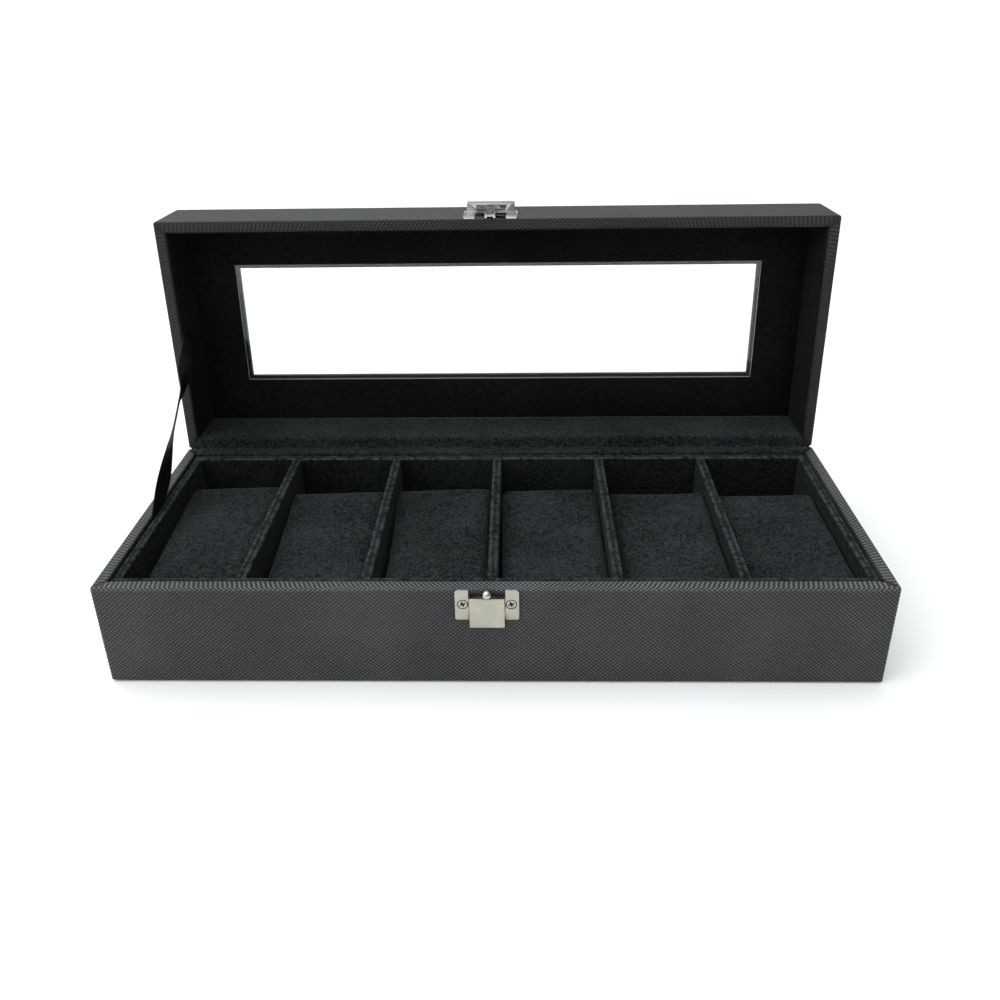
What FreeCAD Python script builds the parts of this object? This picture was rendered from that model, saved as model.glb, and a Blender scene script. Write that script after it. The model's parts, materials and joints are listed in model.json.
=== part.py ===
import FreeCAD, Part
import math
import os
import re

# Watch box: a leatherette-covered board base and lid, six velvet compartments with
# lift-out pillows, a glazed lid on a cloth hinge, a ribbon stay and a push-button ball catch.
# X runs left to right, Y from front to back, Z up. The origin is under the middle of the base.

os.makedirs("parts", exist_ok=True)
document = FreeCAD.newDocument("watch_box")
Vector = FreeCAD.Vector

compartments = 6

# Driving dimensions in millimetres, and the angles in degrees
dimensions = {
    "box_width": 302,
    "box_depth": 111,
    "base_height": 45,
    "lid_height": 29,
    "open_angle": 92,
    "rim_gap": 0.3,
    "skin": 0.5,
    "board": 3.8,
    "floor_board": 3,
    "top_board": 2,
    "corner_round": 0.9,
    "rim_round": 0.6,
    "turn_in": 8,
    "hem": 12,
    "felt": 0.6,
    "felt_margin": 3,
    "felt_gap": 0.2,
    "spine": 0.6,
    "spine_reach": 11,
    "spine_margin": 0.8,
    "fold_gap": 1.0,
    "tray_gap": 0.4,
    "tray_drop": 1.2,
    "tray_wall": 3.5,
    "tray_floor": 2,
    "divider": 4,
    "strap_space": 25,
    "pillow_drop": 5.2,
    "pillow_gap": 0.4,
    "pillow_edge": 2.5,
    "pillow_corner": 3,
    "window_side": 27.5,
    "window_border": 27.75,
    "glass": 1.5,
    "glass_lap": 1.8,
    "glass_gap": 0.15,
    "panel": 1,
    "panel_reveal": 2,
    "lining": 0.6,
    "lining_gap": 0.4,
    "ribbon_width": 15,
    "ribbon": 0.35,
    "ribbon_tuck": 7,
    "ribbon_clear": 0.1,
    "ribbon_reach": 55,
    "ribbon_depth": 9,
    "ribbon_twist": 22,
    "ribbon_rise": 0.5,
    "latch_shift": -1.7,
    "latch_ear": 5.1,
    "latch_height": 13.2,
    "latch_drop": 0.2,
    "latch_plate": 1,
    "latch_corner": 0.9,
    "bridge": 0.5,
    "bridge_height": 4,
    "button_width": 13.3,
    "button_top": 2.9,
    "button_height": 13,
    "button_proud": 2.8,
    "button_lift": 0.8,
    "button_sheet": 0.6,
    "button_gap": 0.25,
    "button_round": 0.35,
    "pivot_drop": 11,
    "pivot_proud": 1.5,
    "pin_radius": 0.35,
    "pin_gap": 0.05,
    "lug": 0.8,
    "lug_spread": 4.2,
    "lug_reach": 0.8,
    "lug_height": 2,
    "leaf": 0.2,
    "leaf_width": 5,
    "leaf_inset": 0.3,
    "leaf_bend": 0.6,
    "leaf_gap": 0.04,
    "ball_radius": 1.75,
    "ball_drop": 1.4,
    "ball_proud": 1.9,
    "stem_radius": 0.6,
    "screw_inset": 2.2,
    "screw_drop": 6.4,
    "screw_head": 2.1,
    "screw_shank": 0.9,
    "screw_sink": 0.75,
    "screw_length": 3.4,
    "screw_gap": 0.03,
    "cross_width": 0.5,
    "cross_span": 2.2,
    "cross_sink": 0.6,
    "hasp_lift": 0.4,
    "hasp_slot": 9,
    "hasp_screw": 8,
    "hood_inset": 1.25,
    "hood_start": 12,
    "hood_end": 18.5,
    "hood_height": 4.6,
    "hood_mouth": 13,
    "hood_wall": 0.7,
    "clip": 0.45,
    "clip_gap": 0.1,
    "clip_reach": 2.65,
    "clip_depth": 1.9,
    "clip_end": 17,
    "rivet_radius": 0.8,
    "rivet_head": 1.3,
    "rivet_cap": 0.35,
    "rivet_place": 10.4,
}

# How far each pillow sits back from the front of its compartment, left to right
pillow_setbacks = [8.5, 4.5, 6.5, 5.5, 2.5, 0.6]

sheet = document.addObject("Spreadsheet::Sheet", "Sizes")
for row, (alias, value) in enumerate(dimensions.items(), 1):
    sheet.set(f"A{row}", alias)
    sheet.set(f"B{row}", str(value))
    sheet.setAlias(f"B{row}", alias)
for row, setback in enumerate(pillow_setbacks, 1):
    sheet.set(f"D{row}", "pillow_setback")
    sheet.set(f"E{row}", str(setback))
    sheet.setAlias(f"E{row}", "pillow_setback_" + "abcdef"[row - 1])
document.recompute()

# Places that several pieces share, as formulas over the sheet's aliases
half_width = "box_width / 2"
half_depth = "box_depth / 2"
wall = "(skin + board)"
rim = "(2 * skin + board)"
floor_low = "(felt + skin)"
floor_top = "(felt + skin + floor_board)"
tray_x = f"({half_width} - {rim} - tray_gap)"
tray_y = f"({half_depth} - {rim} - tray_gap)"
tray_top = "(base_height - tray_drop)"
pocket_x = f"({tray_x} - tray_wall)"
pocket_y = f"({tray_y} - tray_wall)"
pocket_floor = f"({floor_top} + tray_floor)"
pocket_width = f"((2 * {pocket_x} - {compartments - 1} * divider) / {compartments})"
pillow_top = f"({tray_top} - pillow_drop)"
pillow_length = f"(2 * {pocket_y} - strap_space)"
lid_top = "(rim_gap + lid_height)"
ceiling = f"({lid_top} - skin - top_board)"
lid_floor = f"({ceiling} - glass - panel)"
lid_middle = "(-box_depth / 2)"
notch = "(button_width / 2 + button_gap)"
screw_spread = f"({notch} + screw_inset)"
half_latch = f"({notch} + latch_ear)"
window_x = f"({half_width} - window_side)"
window_y = f"({half_depth} - window_border)"

created = []


def size(alias):
    return float(sheet.get(alias))


def bind(feature, target, formula):
    """Ties a property to a formula in which every word is an alias of the sheet."""
    feature.setExpression(target, re.sub(r"[a-z_]+", lambda word: "Sizes." + word.group(), formula))


def place_on_lid(piece):
    """Swings a piece to the open lid from the closed lid's frame, whose origin is on the hinge line."""
    piece.Placement = FreeCAD.Placement(Vector(), FreeCAD.Rotation(Vector(-1, 0, 0), 1))
    bind(piece, "Placement.Base.y", half_depth)
    bind(piece, "Placement.Base.z", "base_height")
    bind(piece, "Placement.Rotation.Angle", "open_angle")


def finish(piece, label, on_lid=False):
    piece.Label = label
    if on_lid:
        place_on_lid(piece)
    created.append(piece)
    return piece


def new_body(label, on_lid=False):
    return finish(document.addObject("PartDesign::Body", label), label, on_lid)


def bind_corners(box, low, high):
    for side, axis, start, end in zip(("Length", "Width", "Height"), "xyz", low, high):
        bind(box, side, f"({end}) - ({start})")
        bind(box, "Placement.Base." + axis, start)


def add_box(body, low, high):
    box = body.newObject("PartDesign::AdditiveBox", "block")
    bind_corners(box, low, high)
    return box


def cut_box(body, low, high):
    box = body.newObject("PartDesign::SubtractiveBox", "recess")
    bind_corners(box, low, high)
    return box


turns = {
    "x": FreeCAD.Rotation(Vector(0, 1, 0), 90),
    "y": FreeCAD.Rotation(Vector(1, 0, 0), -90),
    "z": FreeCAD.Rotation(),
}


def round_feature(body, kind, start, along, sizes):
    """A cylinder, cone or sphere that begins at a point and runs along +X, +Y or +Z."""
    feature = body.newObject("PartDesign::" + kind, kind.lower())
    feature.Placement = FreeCAD.Placement(Vector(), turns[along])
    for axis, formula in zip("xyz", start):
        bind(feature, "Placement.Base." + axis, formula)
    for name, formula in sizes.items():
        bind(feature, name, formula)
    return feature


def round_edges(body, radius, chosen):
    document.recompute()
    base = body.Tip
    names = [f"Edge{number}" for number, edge in enumerate(base.Shape.Edges, 1) if chosen(edge)]
    fillet = body.newObject("PartDesign::Fillet", "rounding")
    fillet.Base = (base, names)
    bind(fillet, "Radius", radius)
    return fillet


def runs_along(edge, axis):
    """True for a straight edge along an axis, given as "x", "y" or "z"."""
    box = edge.BoundBox
    spans = {"x": box.XLength, "y": box.YLength, "z": box.ZLength}
    across = max(length for name, length in spans.items() if name != axis)
    return isinstance(edge.Curve, Part.Line) and spans[axis] > 1e-6 and across < 1e-6


def middle_of(edge):
    return edge.BoundBox.Center


def level_at(edge, height):
    """True for an edge that lies level at the given height."""
    return edge.BoundBox.ZLength < 1e-6 and abs(middle_of(edge).z - height) < 1e-6


# --- Leatherette skins ---------------------------------------------------------------------------


def block(name, low, high):
    box = document.addObject("Part::Box", name)
    bind_corners(box, low, high)
    return box


def rounded(name, shape, radius, chosen):
    """A copy of a shape with the chosen edges rounded."""
    document.recompute()
    fillet = document.addObject("Part::Fillet", name)
    fillet.Base = shape
    fillet.Edges = [
        (number, radius, radius)
        for number, edge in enumerate(shape.Shape.Edges, 1)
        if chosen(edge)
    ]
    return fillet


def difference(name, base, tool):
    cut = document.addObject("Part::Cut", name)
    cut.Base = base
    cut.Tool = tool
    return cut


def union(name, shapes):
    fuse = document.addObject("Part::MultiFuse", name)
    fuse.Shapes = shapes
    return fuse


def without(name, base, boxes):
    """A shape with a list of boxes cut away, each given by its low and high corners."""
    for number, (low, high) in enumerate(boxes, 1):
        base = difference(f"{name}_cut_{number}", base, block(f"{name}_box_{number}", low, high))
    return base


def upright(edge):
    return runs_along(edge, "z")


def covered_shell(name, low, high, rim_z):
    """The leatherette round a box of boards: a skin over everything, open nowhere yet."""
    outer = block(name + "_outer", low, high)
    outer = rounded(name + "_outer_round", outer, size("corner_round"), upright)
    outer = rounded(name + "_rim_round", outer, size("rim_round"), lambda edge: level_at(edge, rim_z))
    inner_low = [f"{value} + skin" for value in low]
    inner_high = [f"{value} - skin" for value in high]
    inner = block(name + "_inner", inner_low, inner_high)
    inner = rounded(name + "_inner_round", inner, size("corner_round") - size("skin"), upright)
    return difference(name + "_shell", outer, inner)


def make_base_wrap():
    name = "base_wrap"
    low = (f"-{half_width}", f"-{half_depth}", "felt")
    high = (half_width, half_depth, "base_height")
    shell = covered_shell(name, low, high, size("base_height"))
    ring = block(
        name + "_ring",
        (f"-({half_width} - {wall})", f"-({half_depth} - {wall})", "base_height - turn_in"),
        (f"{half_width} - {wall}", f"{half_depth} - {wall}", "base_height - skin / 2"),
    )
    mouth_x = f"({half_width} - {rim})"
    mouth_y = f"({half_depth} - {rim})"
    hem_x = f"({half_width} - hem)"
    hem_y = f"({half_depth} - hem)"
    wrap = without(
        name,
        union(name + "_joined", [shell, ring]),
        [
            # the mouth of the box, inside the turned-in rim
            (
                (f"-{mouth_x}", f"-{mouth_y}", "base_height - 2 * turn_in"),
                (mouth_x, mouth_y, "base_height + 1"),
            ),
            # the open middle of the underside, inside the hem
            ((f"-{hem_x}", f"-{hem_y}", "felt / 2"), (hem_x, hem_y, "felt + 2 * skin")),
            # the rear rim and its turn-in, where velvet takes over
            (
                (f"-{mouth_x}", mouth_y, "base_height - skin"),
                (mouth_x, f"{half_depth} + 1", "base_height + 1"),
            ),
            (
                (f"-{mouth_x}", f"{mouth_y} - 1", "base_height - 2 * turn_in"),
                (mouth_x, f"{half_depth} - {wall}", "base_height + 1"),
            ),
        ],
    )
    cut_screw_holes(name, wrap, f"-{half_depth}", "base_height - screw_drop", on_lid=False)


def cut_screw_holes(name, wrap, plane, height, on_lid):
    """Clears a pair of screws out of a skin's front wall and names the result."""
    drills = []
    for side in (-1, 1):
        drill = document.addObject("Part::Cylinder", f"{name}_drill")
        drill.Placement = FreeCAD.Placement(Vector(), turns["y"])
        bind(drill, "Radius", "screw_shank + screw_gap")
        bind(drill, "Height", "3 * skin")
        bind(drill, "Placement.Base.x", f"latch_shift + {side} * {screw_spread}")
        bind(drill, "Placement.Base.y", plane + " - skin")
        bind(drill, "Placement.Base.z", height)
        drills.append(drill)
    pair = union(name + "_drills", drills)
    finish(difference(name, wrap, pair), name, on_lid)


def make_lid_wrap():
    name = "lid_wrap"
    low = (f"-{half_width}", "-box_depth", "rim_gap")
    high = (half_width, "0", lid_top)
    shell = covered_shell(name, low, high, size("rim_gap") + size("lid_height"))
    ring = block(
        name + "_ring",
        (f"-({half_width} - {wall})", f"-box_depth + {wall}", "rim_gap + skin / 2"),
        (f"{half_width} - {wall}", f"-{wall}", "rim_gap + turn_in"),
    )
    collar = block(
        name + "_collar",
        (f"-{window_x} - skin", f"{lid_middle} - {window_y} - skin", ceiling),
        (f"{window_x} + skin", f"{lid_middle} + {window_y} + skin", f"{lid_top} - skin / 2"),
    )
    mouth_x = f"({half_width} - {rim})"
    wrap = without(
        name,
        union(name + "_joined", [shell, ring, collar]),
        [
            # the mouth of the lid
            (
                (f"-{mouth_x}", f"-box_depth + {rim}", "rim_gap - 1"),
                (mouth_x, f"-{rim}", "rim_gap + 2 * turn_in"),
            ),
            # the window
            (
                (f"-{window_x}", f"{lid_middle} - {window_y}", f"{ceiling} - 1"),
                (window_x, f"{lid_middle} + {window_y}", f"{lid_top} + 1"),
            ),
            # the rear rim and its turn-in, where velvet takes over
            ((f"-{mouth_x}", f"-{rim} - 1", "rim_gap - 1"), (mouth_x, "1", "rim_gap + skin")),
            (
                (f"-{mouth_x}", f"-{rim} - 1", "rim_gap - 1"),
                (mouth_x, f"-{wall}", "rim_gap + 2 * turn_in"),
            ),
        ],
    )
    cut_screw_holes(name, wrap, "-box_depth", "hasp_screw", on_lid=True)


# --- Base boards ---------------------------------------------------------------------------------


def screw_bores(body, plane, height):
    """Bores for a pair of screws, running back from a front plane."""
    for side in (-1, 1):
        start = (f"latch_shift + {side} * {screw_spread}", plane, height)
        sizes = {"Radius": "screw_shank + screw_gap", "Height": "screw_length + screw_gap"}
        round_feature(body, "SubtractiveCylinder", start, "y", sizes)


def make_base_boards():
    body = new_body("base_floor")
    side_x = f"({half_width} - skin)"
    side_y = f"({half_depth} - skin)"
    add_box(body, (f"-{side_x}", f"-{side_y}", floor_low), (side_x, side_y, floor_top))
    round_edges(body, "corner_round - skin", upright)

    end_y = f"({half_depth} - {wall})"
    for name, front, back, outside in (
        ("base_front_board", f"-{side_y}", f"-{end_y}", size("skin") - size("box_depth") / 2),
        ("base_rear_board", end_y, side_y, size("box_depth") / 2 - size("skin")),
    ):
        body = new_body(name)
        add_box(body, (f"-{side_x}", front, floor_top), (side_x, back, "base_height - skin"))
        round_edges(
            body,
            "corner_round - skin",
            lambda edge: upright(edge) and abs(middle_of(edge).y - outside) < 1e-6,
        )
        if name == "base_front_board":
            screw_bores(body, f"-{half_depth}", "base_height - screw_drop")

    body = new_body("base_left_board")
    add_box(
        body,
        (f"-{side_x}", f"-{end_y}", floor_top),
        (f"-({half_width} - {wall})", end_y, "base_height - skin"),
    )
    body = new_body("base_right_board")
    add_box(
        body,
        (f"{half_width} - {wall}", f"-{end_y}", floor_top),
        (side_x, end_y, "base_height - skin"),
    )


def make_base_felt():
    """The felt sheet on the underside: full under the hem, thicker where it fills the hem's middle."""
    body = new_body("base_felt")
    edge_x = f"({half_width} - felt_margin)"
    edge_y = f"({half_depth} - felt_margin)"
    add_box(body, (f"-{edge_x}", f"-{edge_y}", "0"), (edge_x, edge_y, "felt"))
    pad_x = f"({half_width} - hem - felt_gap)"
    pad_y = f"({half_depth} - hem - felt_gap)"
    add_box(body, (f"-{pad_x}", f"-{pad_y}", "0"), (pad_x, pad_y, floor_low))


# --- Cloth hinge ---------------------------------------------------------------------------------


def make_hinge_cloth():
    """The velvet strip inside and the spine strip outside, each parted at the fold line."""
    mouth_x = f"({half_width} - {rim})"
    body = new_body("hinge_velvet_base")
    add_box(
        body,
        (f"-{mouth_x}", f"{half_depth} - {rim}", "base_height - skin"),
        (mouth_x, half_depth, "base_height"),
    )
    add_box(
        body,
        (f"-{mouth_x}", f"{half_depth} - {rim}", "base_height - turn_in"),
        (mouth_x, f"{half_depth} - {wall}", "base_height"),
    )

    body = new_body("hinge_velvet_lid", on_lid=True)
    add_box(body, (f"-{mouth_x}", f"-{rim}", "rim_gap"), (mouth_x, "0", "rim_gap + skin"))
    add_box(body, (f"-{mouth_x}", f"-{rim} - lining", "rim_gap"), (mouth_x, f"-{wall}", lid_floor))

    spine_x = f"({half_width} - spine_margin)"
    body = new_body("hinge_spine_base")
    add_box(
        body,
        (f"-{spine_x}", half_depth, "base_height - spine_reach"),
        (spine_x, f"{half_depth} + spine", "base_height - fold_gap"),
    )
    body = new_body("hinge_spine_lid", on_lid=True)
    add_box(
        body,
        (f"-{spine_x}", "0", "rim_gap + fold_gap"),
        (spine_x, "spine", "rim_gap + spine_reach"),
    )


# --- Tray, dividers and pillows ------------------------------------------------------------------


def make_tray():
    body = new_body("tray_floor")
    add_box(body, (f"-{pocket_x}", f"-{pocket_y}", floor_top), (pocket_x, pocket_y, pocket_floor))
    walls = {
        "tray_front": ((f"-{tray_x}", f"-{tray_y}"), (tray_x, f"-{pocket_y}")),
        "tray_rear": ((f"-{tray_x}", pocket_y), (tray_x, tray_y)),
        "tray_left": ((f"-{tray_x}", f"-{pocket_y}"), (f"-{pocket_x}", pocket_y)),
        "tray_right": ((pocket_x, f"-{pocket_y}"), (tray_x, pocket_y)),
    }
    for name, (low, high) in walls.items():
        body = new_body(name)
        add_box(body, (*low, floor_top), (*high, tray_top))
    for number in range(1, compartments):
        body = new_body(f"divider_{number}")
        left = f"(-{pocket_x} + {number} * {pocket_width} + {number - 1} * divider)"
        add_box(body, (left, f"-{pocket_y}", pocket_floor), (f"{left} + divider", pocket_y, tray_top))


def make_pillows():
    for number in range(compartments):
        body = new_body(f"pillow_{number + 1}")
        setback = "pillow_setback_" + "abcdef"[number]
        left = f"(-{pocket_x} + {number} * ({pocket_width} + divider) + pillow_gap)"
        front = f"(-{pocket_y} + {setback})"
        right = f"{left} + {pocket_width} - 2 * pillow_gap"
        add_box(body, (left, front, pocket_floor), (right, f"{front} + {pillow_length}", pillow_top))
        round_edges(body, "pillow_corner", upright)
        top = body.Shape.BoundBox.ZMax
        round_edges(body, "pillow_edge", lambda edge: level_at(edge, top))


# --- Lid boards, window and lining ---------------------------------------------------------------


def make_lid_boards():
    side_x = f"({half_width} - skin)"
    body = new_body("lid_top_board", on_lid=True)
    add_box(body, (f"-{side_x}", "-box_depth + skin", ceiling), (side_x, "-skin", f"{lid_top} - skin"))
    round_edges(body, "corner_round - skin", upright)
    cut_box(
        body,
        (f"-{window_x} - skin", f"{lid_middle} - {window_y} - skin", f"{ceiling} - 1"),
        (f"{window_x} + skin", f"{lid_middle} + {window_y} + skin", f"{lid_top} + 1"),
    )

    walls = {
        "lid_front_board": ("-box_depth + skin", f"-box_depth + {wall}", -size("box_depth") + size("skin")),
        "lid_rear_board": (f"-{wall}", "-skin", -size("skin")),
    }
    for name, (front, back, outside) in walls.items():
        body = new_body(name, on_lid=True)
        add_box(body, (f"-{side_x}", front, "rim_gap + skin"), (side_x, back, ceiling))
        round_edges(
            body,
            "corner_round - skin",
            lambda edge: upright(edge) and abs(middle_of(edge).y - outside) < 1e-6,
        )
        if name == "lid_front_board":
            screw_bores(body, "-box_depth", "hasp_screw")

    for name, left, right in (
        ("lid_left_board", f"-{side_x}", f"-({half_width} - {wall})"),
        ("lid_right_board", f"{half_width} - {wall}", side_x),
    ):
        body = new_body(name, on_lid=True)
        add_box(body, (left, f"-box_depth + {wall}", "rim_gap + skin"), (right, f"-{wall}", ceiling))


def make_window():
    inside_x = f"({half_width} - {wall})"
    front = f"-box_depth + {wall}"
    back = f"-{wall}"
    body = new_body("window_spacer", on_lid=True)
    add_box(body, (f"-{inside_x}", front, f"{ceiling} - glass"), (inside_x, back, ceiling))
    seat_x = f"({window_x} + glass_lap + glass_gap)"
    seat_y = f"({window_y} + glass_lap + glass_gap)"
    cut_box(
        body,
        (f"-{seat_x}", f"{lid_middle} - {seat_y}", f"{ceiling} - glass - 1"),
        (seat_x, f"{lid_middle} + {seat_y}", f"{ceiling} + 1"),
    )

    body = new_body("window_glass", on_lid=True)
    pane_x = f"({window_x} + glass_lap)"
    pane_y = f"({window_y} + glass_lap)"
    add_box(
        body,
        (f"-{pane_x}", f"{lid_middle} - {pane_y}", f"{ceiling} - glass"),
        (pane_x, f"{lid_middle} + {pane_y}", ceiling),
    )

    body = new_body("lid_lining_panel", on_lid=True)
    add_box(body, (f"-{inside_x}", front, lid_floor), (inside_x, back, f"{ceiling} - glass"))
    opening_x = f"({window_x} + panel_reveal)"
    opening_y = f"({window_y} + panel_reveal)"
    cut_box(
        body,
        (f"-{opening_x}", f"{lid_middle} - {opening_y}", f"{lid_floor} - 1"),
        (opening_x, f"{lid_middle} + {opening_y}", f"{ceiling} + 1"),
    )


def make_lid_lining():
    inside_x = f"({half_width} - {rim})"
    inside_front = f"(-box_depth + {rim})"
    body = new_body("lid_front_lining", on_lid=True)
    add_box(
        body,
        (f"-{inside_x}", inside_front, "rim_gap + lining_gap"),
        (inside_x, f"{inside_front} + lining", lid_floor),
    )
    for name, left in (("lid_left_lining", f"-{inside_x}"), ("lid_right_lining", f"({inside_x} - lining)")):
        body = new_body(name, on_lid=True)
        add_box(
            body,
            (left, f"{inside_front} + lining", "rim_gap + lining_gap"),
            (f"{left} + lining", f"-{rim} - lining", lid_floor),
        )


# --- Latch on the base ---------------------------------------------------------------------------


def proud(distance):
    """The Y of a plane that stands out from the base's front face."""
    return f"(-{half_depth} - ({distance}))"


def below(distance):
    """The Z of a level below the base's rim."""
    return f"(base_height - ({distance}))"


def latch_box(drop_top, drop_bottom, left, right, low_proud, high_proud):
    low = (f"latch_shift + {left}", proud(high_proud), below(drop_bottom))
    high = (f"latch_shift + {right}", proud(low_proud), below(drop_top))
    return low, high


def plate_corner(edge):
    """True for the four outer corners of a latch plate."""
    reach = size("button_width") / 2 + size("button_gap") + size("latch_ear")
    return runs_along(edge, "y") and abs(abs(middle_of(edge).x - size("latch_shift")) - reach) < 1e-6


def countersink(body, height, face):
    """A pair of countersunk holes through a plate whose outer face is at the given Y."""
    for side in (-1, 1):
        start = (f"latch_shift + {side} * {screw_spread}", face, height)
        cone = {
            "Radius1": "screw_head + screw_gap",
            "Radius2": "screw_shank + screw_gap",
            "Height": "screw_sink",
        }
        round_feature(body, "SubtractiveCone", start, "y", cone)
        hole = {"Radius": "screw_shank + screw_gap", "Height": "2 * latch_plate"}
        round_feature(body, "SubtractiveCylinder", start, "y", hole)


def make_latch_plate():
    body = new_body("latch_plate")
    bottom = "(latch_drop + latch_height)"
    bridge_top = "(pivot_drop - bridge_height / 2)"
    bridge_bottom = "(pivot_drop + bridge_height / 2)"
    add_box(body, *latch_box("latch_drop", bottom, f"-{half_latch}", half_latch, "0", "latch_plate"))
    round_edges(body, "latch_corner", plate_corner)
    cut_box(body, *latch_box("-1", bridge_top, f"-{notch}", notch, "-1", "latch_plate + 1"))
    cut_box(body, *latch_box(bridge_bottom, f"{bottom} + 1", f"-{notch}", notch, "-1", "latch_plate + 1"))
    cut_box(body, *latch_box(bridge_top, bridge_bottom, f"-{notch}", notch, "bridge", "latch_plate + 1"))
    for left in ("-lug_spread - lug", "lug_spread"):
        reach = ("pivot_drop - lug_reach", "pivot_drop + lug_reach")
        add_box(body, *latch_box(*reach, left, f"{left} + lug", "0", "lug_height"))
    start = ("latch_shift - button_width / 2", proud("pivot_proud"), below("pivot_drop"))
    bore = {"Radius": "pin_radius + screw_gap", "Height": "button_width"}
    round_feature(body, "SubtractiveCylinder", start, "x", bore)
    countersink(body, below("screw_drop"), proud("latch_plate"))


def make_latch_button():
    body = new_body("latch_button")
    half = "button_width / 2"
    bottom = "(button_top + button_height)"
    add_box(body, *latch_box("button_top", bottom, f"-{half}", half, "button_lift", "button_proud"))
    face = -size("box_depth") / 2 - size("button_proud")
    round_edges(body, "button_round", lambda edge: abs(middle_of(edge).y - face) < 1e-6)
    inside = f"({half} - button_sheet)"
    cut_box(
        body,
        *latch_box(
            "button_top + button_sheet",
            f"{bottom} - button_sheet",
            f"-{inside}",
            inside,
            "0",
            "button_proud - button_sheet",
        ),
    )
    start = ("latch_shift - button_width", proud("pivot_proud"), below("pivot_drop"))
    bore = {"Radius": "pin_radius + pin_gap", "Height": "2 * button_width"}
    round_feature(body, "SubtractiveCylinder", start, "x", bore)
    start = ("latch_shift", proud("ball_proud"), below("button_top + 2 * button_sheet"))
    bore = {"Radius": "stem_radius + screw_gap", "Height": "3 * button_sheet"}
    round_feature(body, "SubtractiveCylinder", start, "z", bore)


def make_catch_ball():
    body = new_body("catch_ball")
    centre = ("latch_shift", proud("ball_proud"), below("ball_drop"))
    round_feature(body, "AdditiveSphere", centre, "z", {"Radius": "ball_radius"})
    reach = "2 * ball_radius"
    flat = latch_box("button_top", "2 * button_top", f"-{reach}", reach, f"-{reach}", f"2 * {reach}")
    cut_box(body, *flat)
    foot = ("latch_shift", proud("ball_proud"), below("button_top + button_sheet"))
    stem = {"Radius": "stem_radius", "Height": "button_top + button_sheet - ball_drop"}
    round_feature(body, "AdditiveCylinder", foot, "z", stem)


def make_latch_pin():
    body = new_body("latch_pin")
    start = ("latch_shift - button_width / 2 + pin_gap", proud("pivot_proud"), below("pivot_drop"))
    sizes = {"Radius": "pin_radius", "Height": "button_width - 2 * pin_gap"}
    round_feature(body, "AdditiveCylinder", start, "x", sizes)


def make_latch_spring():
    """A leaf spring: its foot lies on the bridge and its free end bears on the inside of the button."""
    leaf = size("leaf")
    foot = size("bridge")
    foot_top = size("pivot_drop") - size("bridge_height") / 2 + size("leaf_inset")
    bend = size("pivot_drop") + size("bridge_height") / 2 - size("leaf_bend")
    tip = size("button_top") + size("button_height") - 2 * size("button_sheet")
    reach = size("button_proud") - size("button_sheet") - size("leaf_gap")
    outline = [
        (foot_top, foot),
        (foot_top, foot + leaf),
        (bend - leaf / 2, foot + leaf),
        (tip - leaf, reach),
        (tip, reach - leaf / 2),
        (bend + leaf / 2, foot),
    ]
    left = size("latch_shift") - size("leaf_width") / 2
    front = -size("box_depth") / 2
    points = [Vector(left, front - height, size("base_height") - drop) for drop, height in outline]
    face = Part.Face(Part.makePolygon(points + points[:1]))
    spring = document.addObject("Part::Feature", "latch_spring")
    spring.Shape = face.extrude(Vector(size("leaf_width"), 0, 0))
    finish(spring, "latch_spring")


def make_screws(label, face, height, on_lid):
    """A pair of countersunk cross-head screws, their heads in a plate's outer face."""
    body = new_body(label, on_lid)
    body.AllowCompound = True
    for side in (-1, 1):
        centre = f"latch_shift + {side} * {screw_spread}"
        start = (centre, face, height)
        cone = {"Radius1": "screw_head", "Radius2": "screw_shank", "Height": "screw_sink"}
        round_feature(body, "AdditiveCone", start, "y", cone)
        shank = {"Radius": "screw_shank", "Height": "latch_plate + screw_length"}
        round_feature(body, "AdditiveCylinder", start, "y", shank)
    for side in (-1, 1):
        centre = f"latch_shift + {side} * {screw_spread}"
        for wide, tall in (("cross_span", "cross_width"), ("cross_width", "cross_span")):
            cut_box(
                body,
                (f"{centre} - {wide} / 2", f"{face} - 1", f"{height} - {tall} / 2"),
                (f"{centre} + {wide} / 2", f"{face} + cross_sink", f"{height} + {tall} / 2"),
            )


# --- Hasp on the lid -----------------------------------------------------------------------------


def lid_proud(distance):
    """The Y, in the lid's frame, of a plane that stands out from the lid's front face."""
    return f"(-box_depth - ({distance}))"


def hasp_box(start, end, left, right, low_proud, high_proud):
    low = (f"latch_shift + {left}", lid_proud(high_proud), start)
    high = (f"latch_shift + {right}", lid_proud(low_proud), end)
    return low, high


def make_hasp_plate():
    body = new_body("hasp_plate", on_lid=True)
    start = "(rim_gap + hasp_lift)"
    end = f"({start} + latch_height)"
    hood = f"({half_latch} - hood_inset)"
    mouth = "hood_mouth / 2"
    add_box(body, *hasp_box(start, end, f"-{half_latch}", half_latch, "0", "latch_plate"))
    round_edges(body, "latch_corner", plate_corner)
    add_box(body, *hasp_box("hood_start", "hood_end", f"-{hood}", hood, "0", "hood_height"))
    clear_of_plate = -size("box_depth") - size("latch_plate") / 2
    round_edges(
        body,
        "latch_corner",
        lambda edge: (
            abs(middle_of(edge).z - size("hood_end")) < 1e-6 and middle_of(edge).y < clear_of_plate
        ),
    )
    cut_box(body, *hasp_box(f"{start} - 1", "hasp_slot", f"-{notch}", notch, "-1", "latch_plate + 1"))
    cut_box(
        body,
        *hasp_box(
            "hood_start - 1",
            "hood_end - hood_wall",
            f"-{mouth}",
            mouth,
            "latch_plate",
            "hood_height - hood_wall",
        ),
    )
    countersink(body, "hasp_screw", lid_proud("latch_plate"))
    start = ("latch_shift", lid_proud("latch_plate + 1"), "rivet_place")
    bore = {"Radius": "rivet_radius + screw_gap", "Height": "latch_plate + 2"}
    round_feature(body, "SubtractiveCylinder", start, "y", bore)


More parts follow.
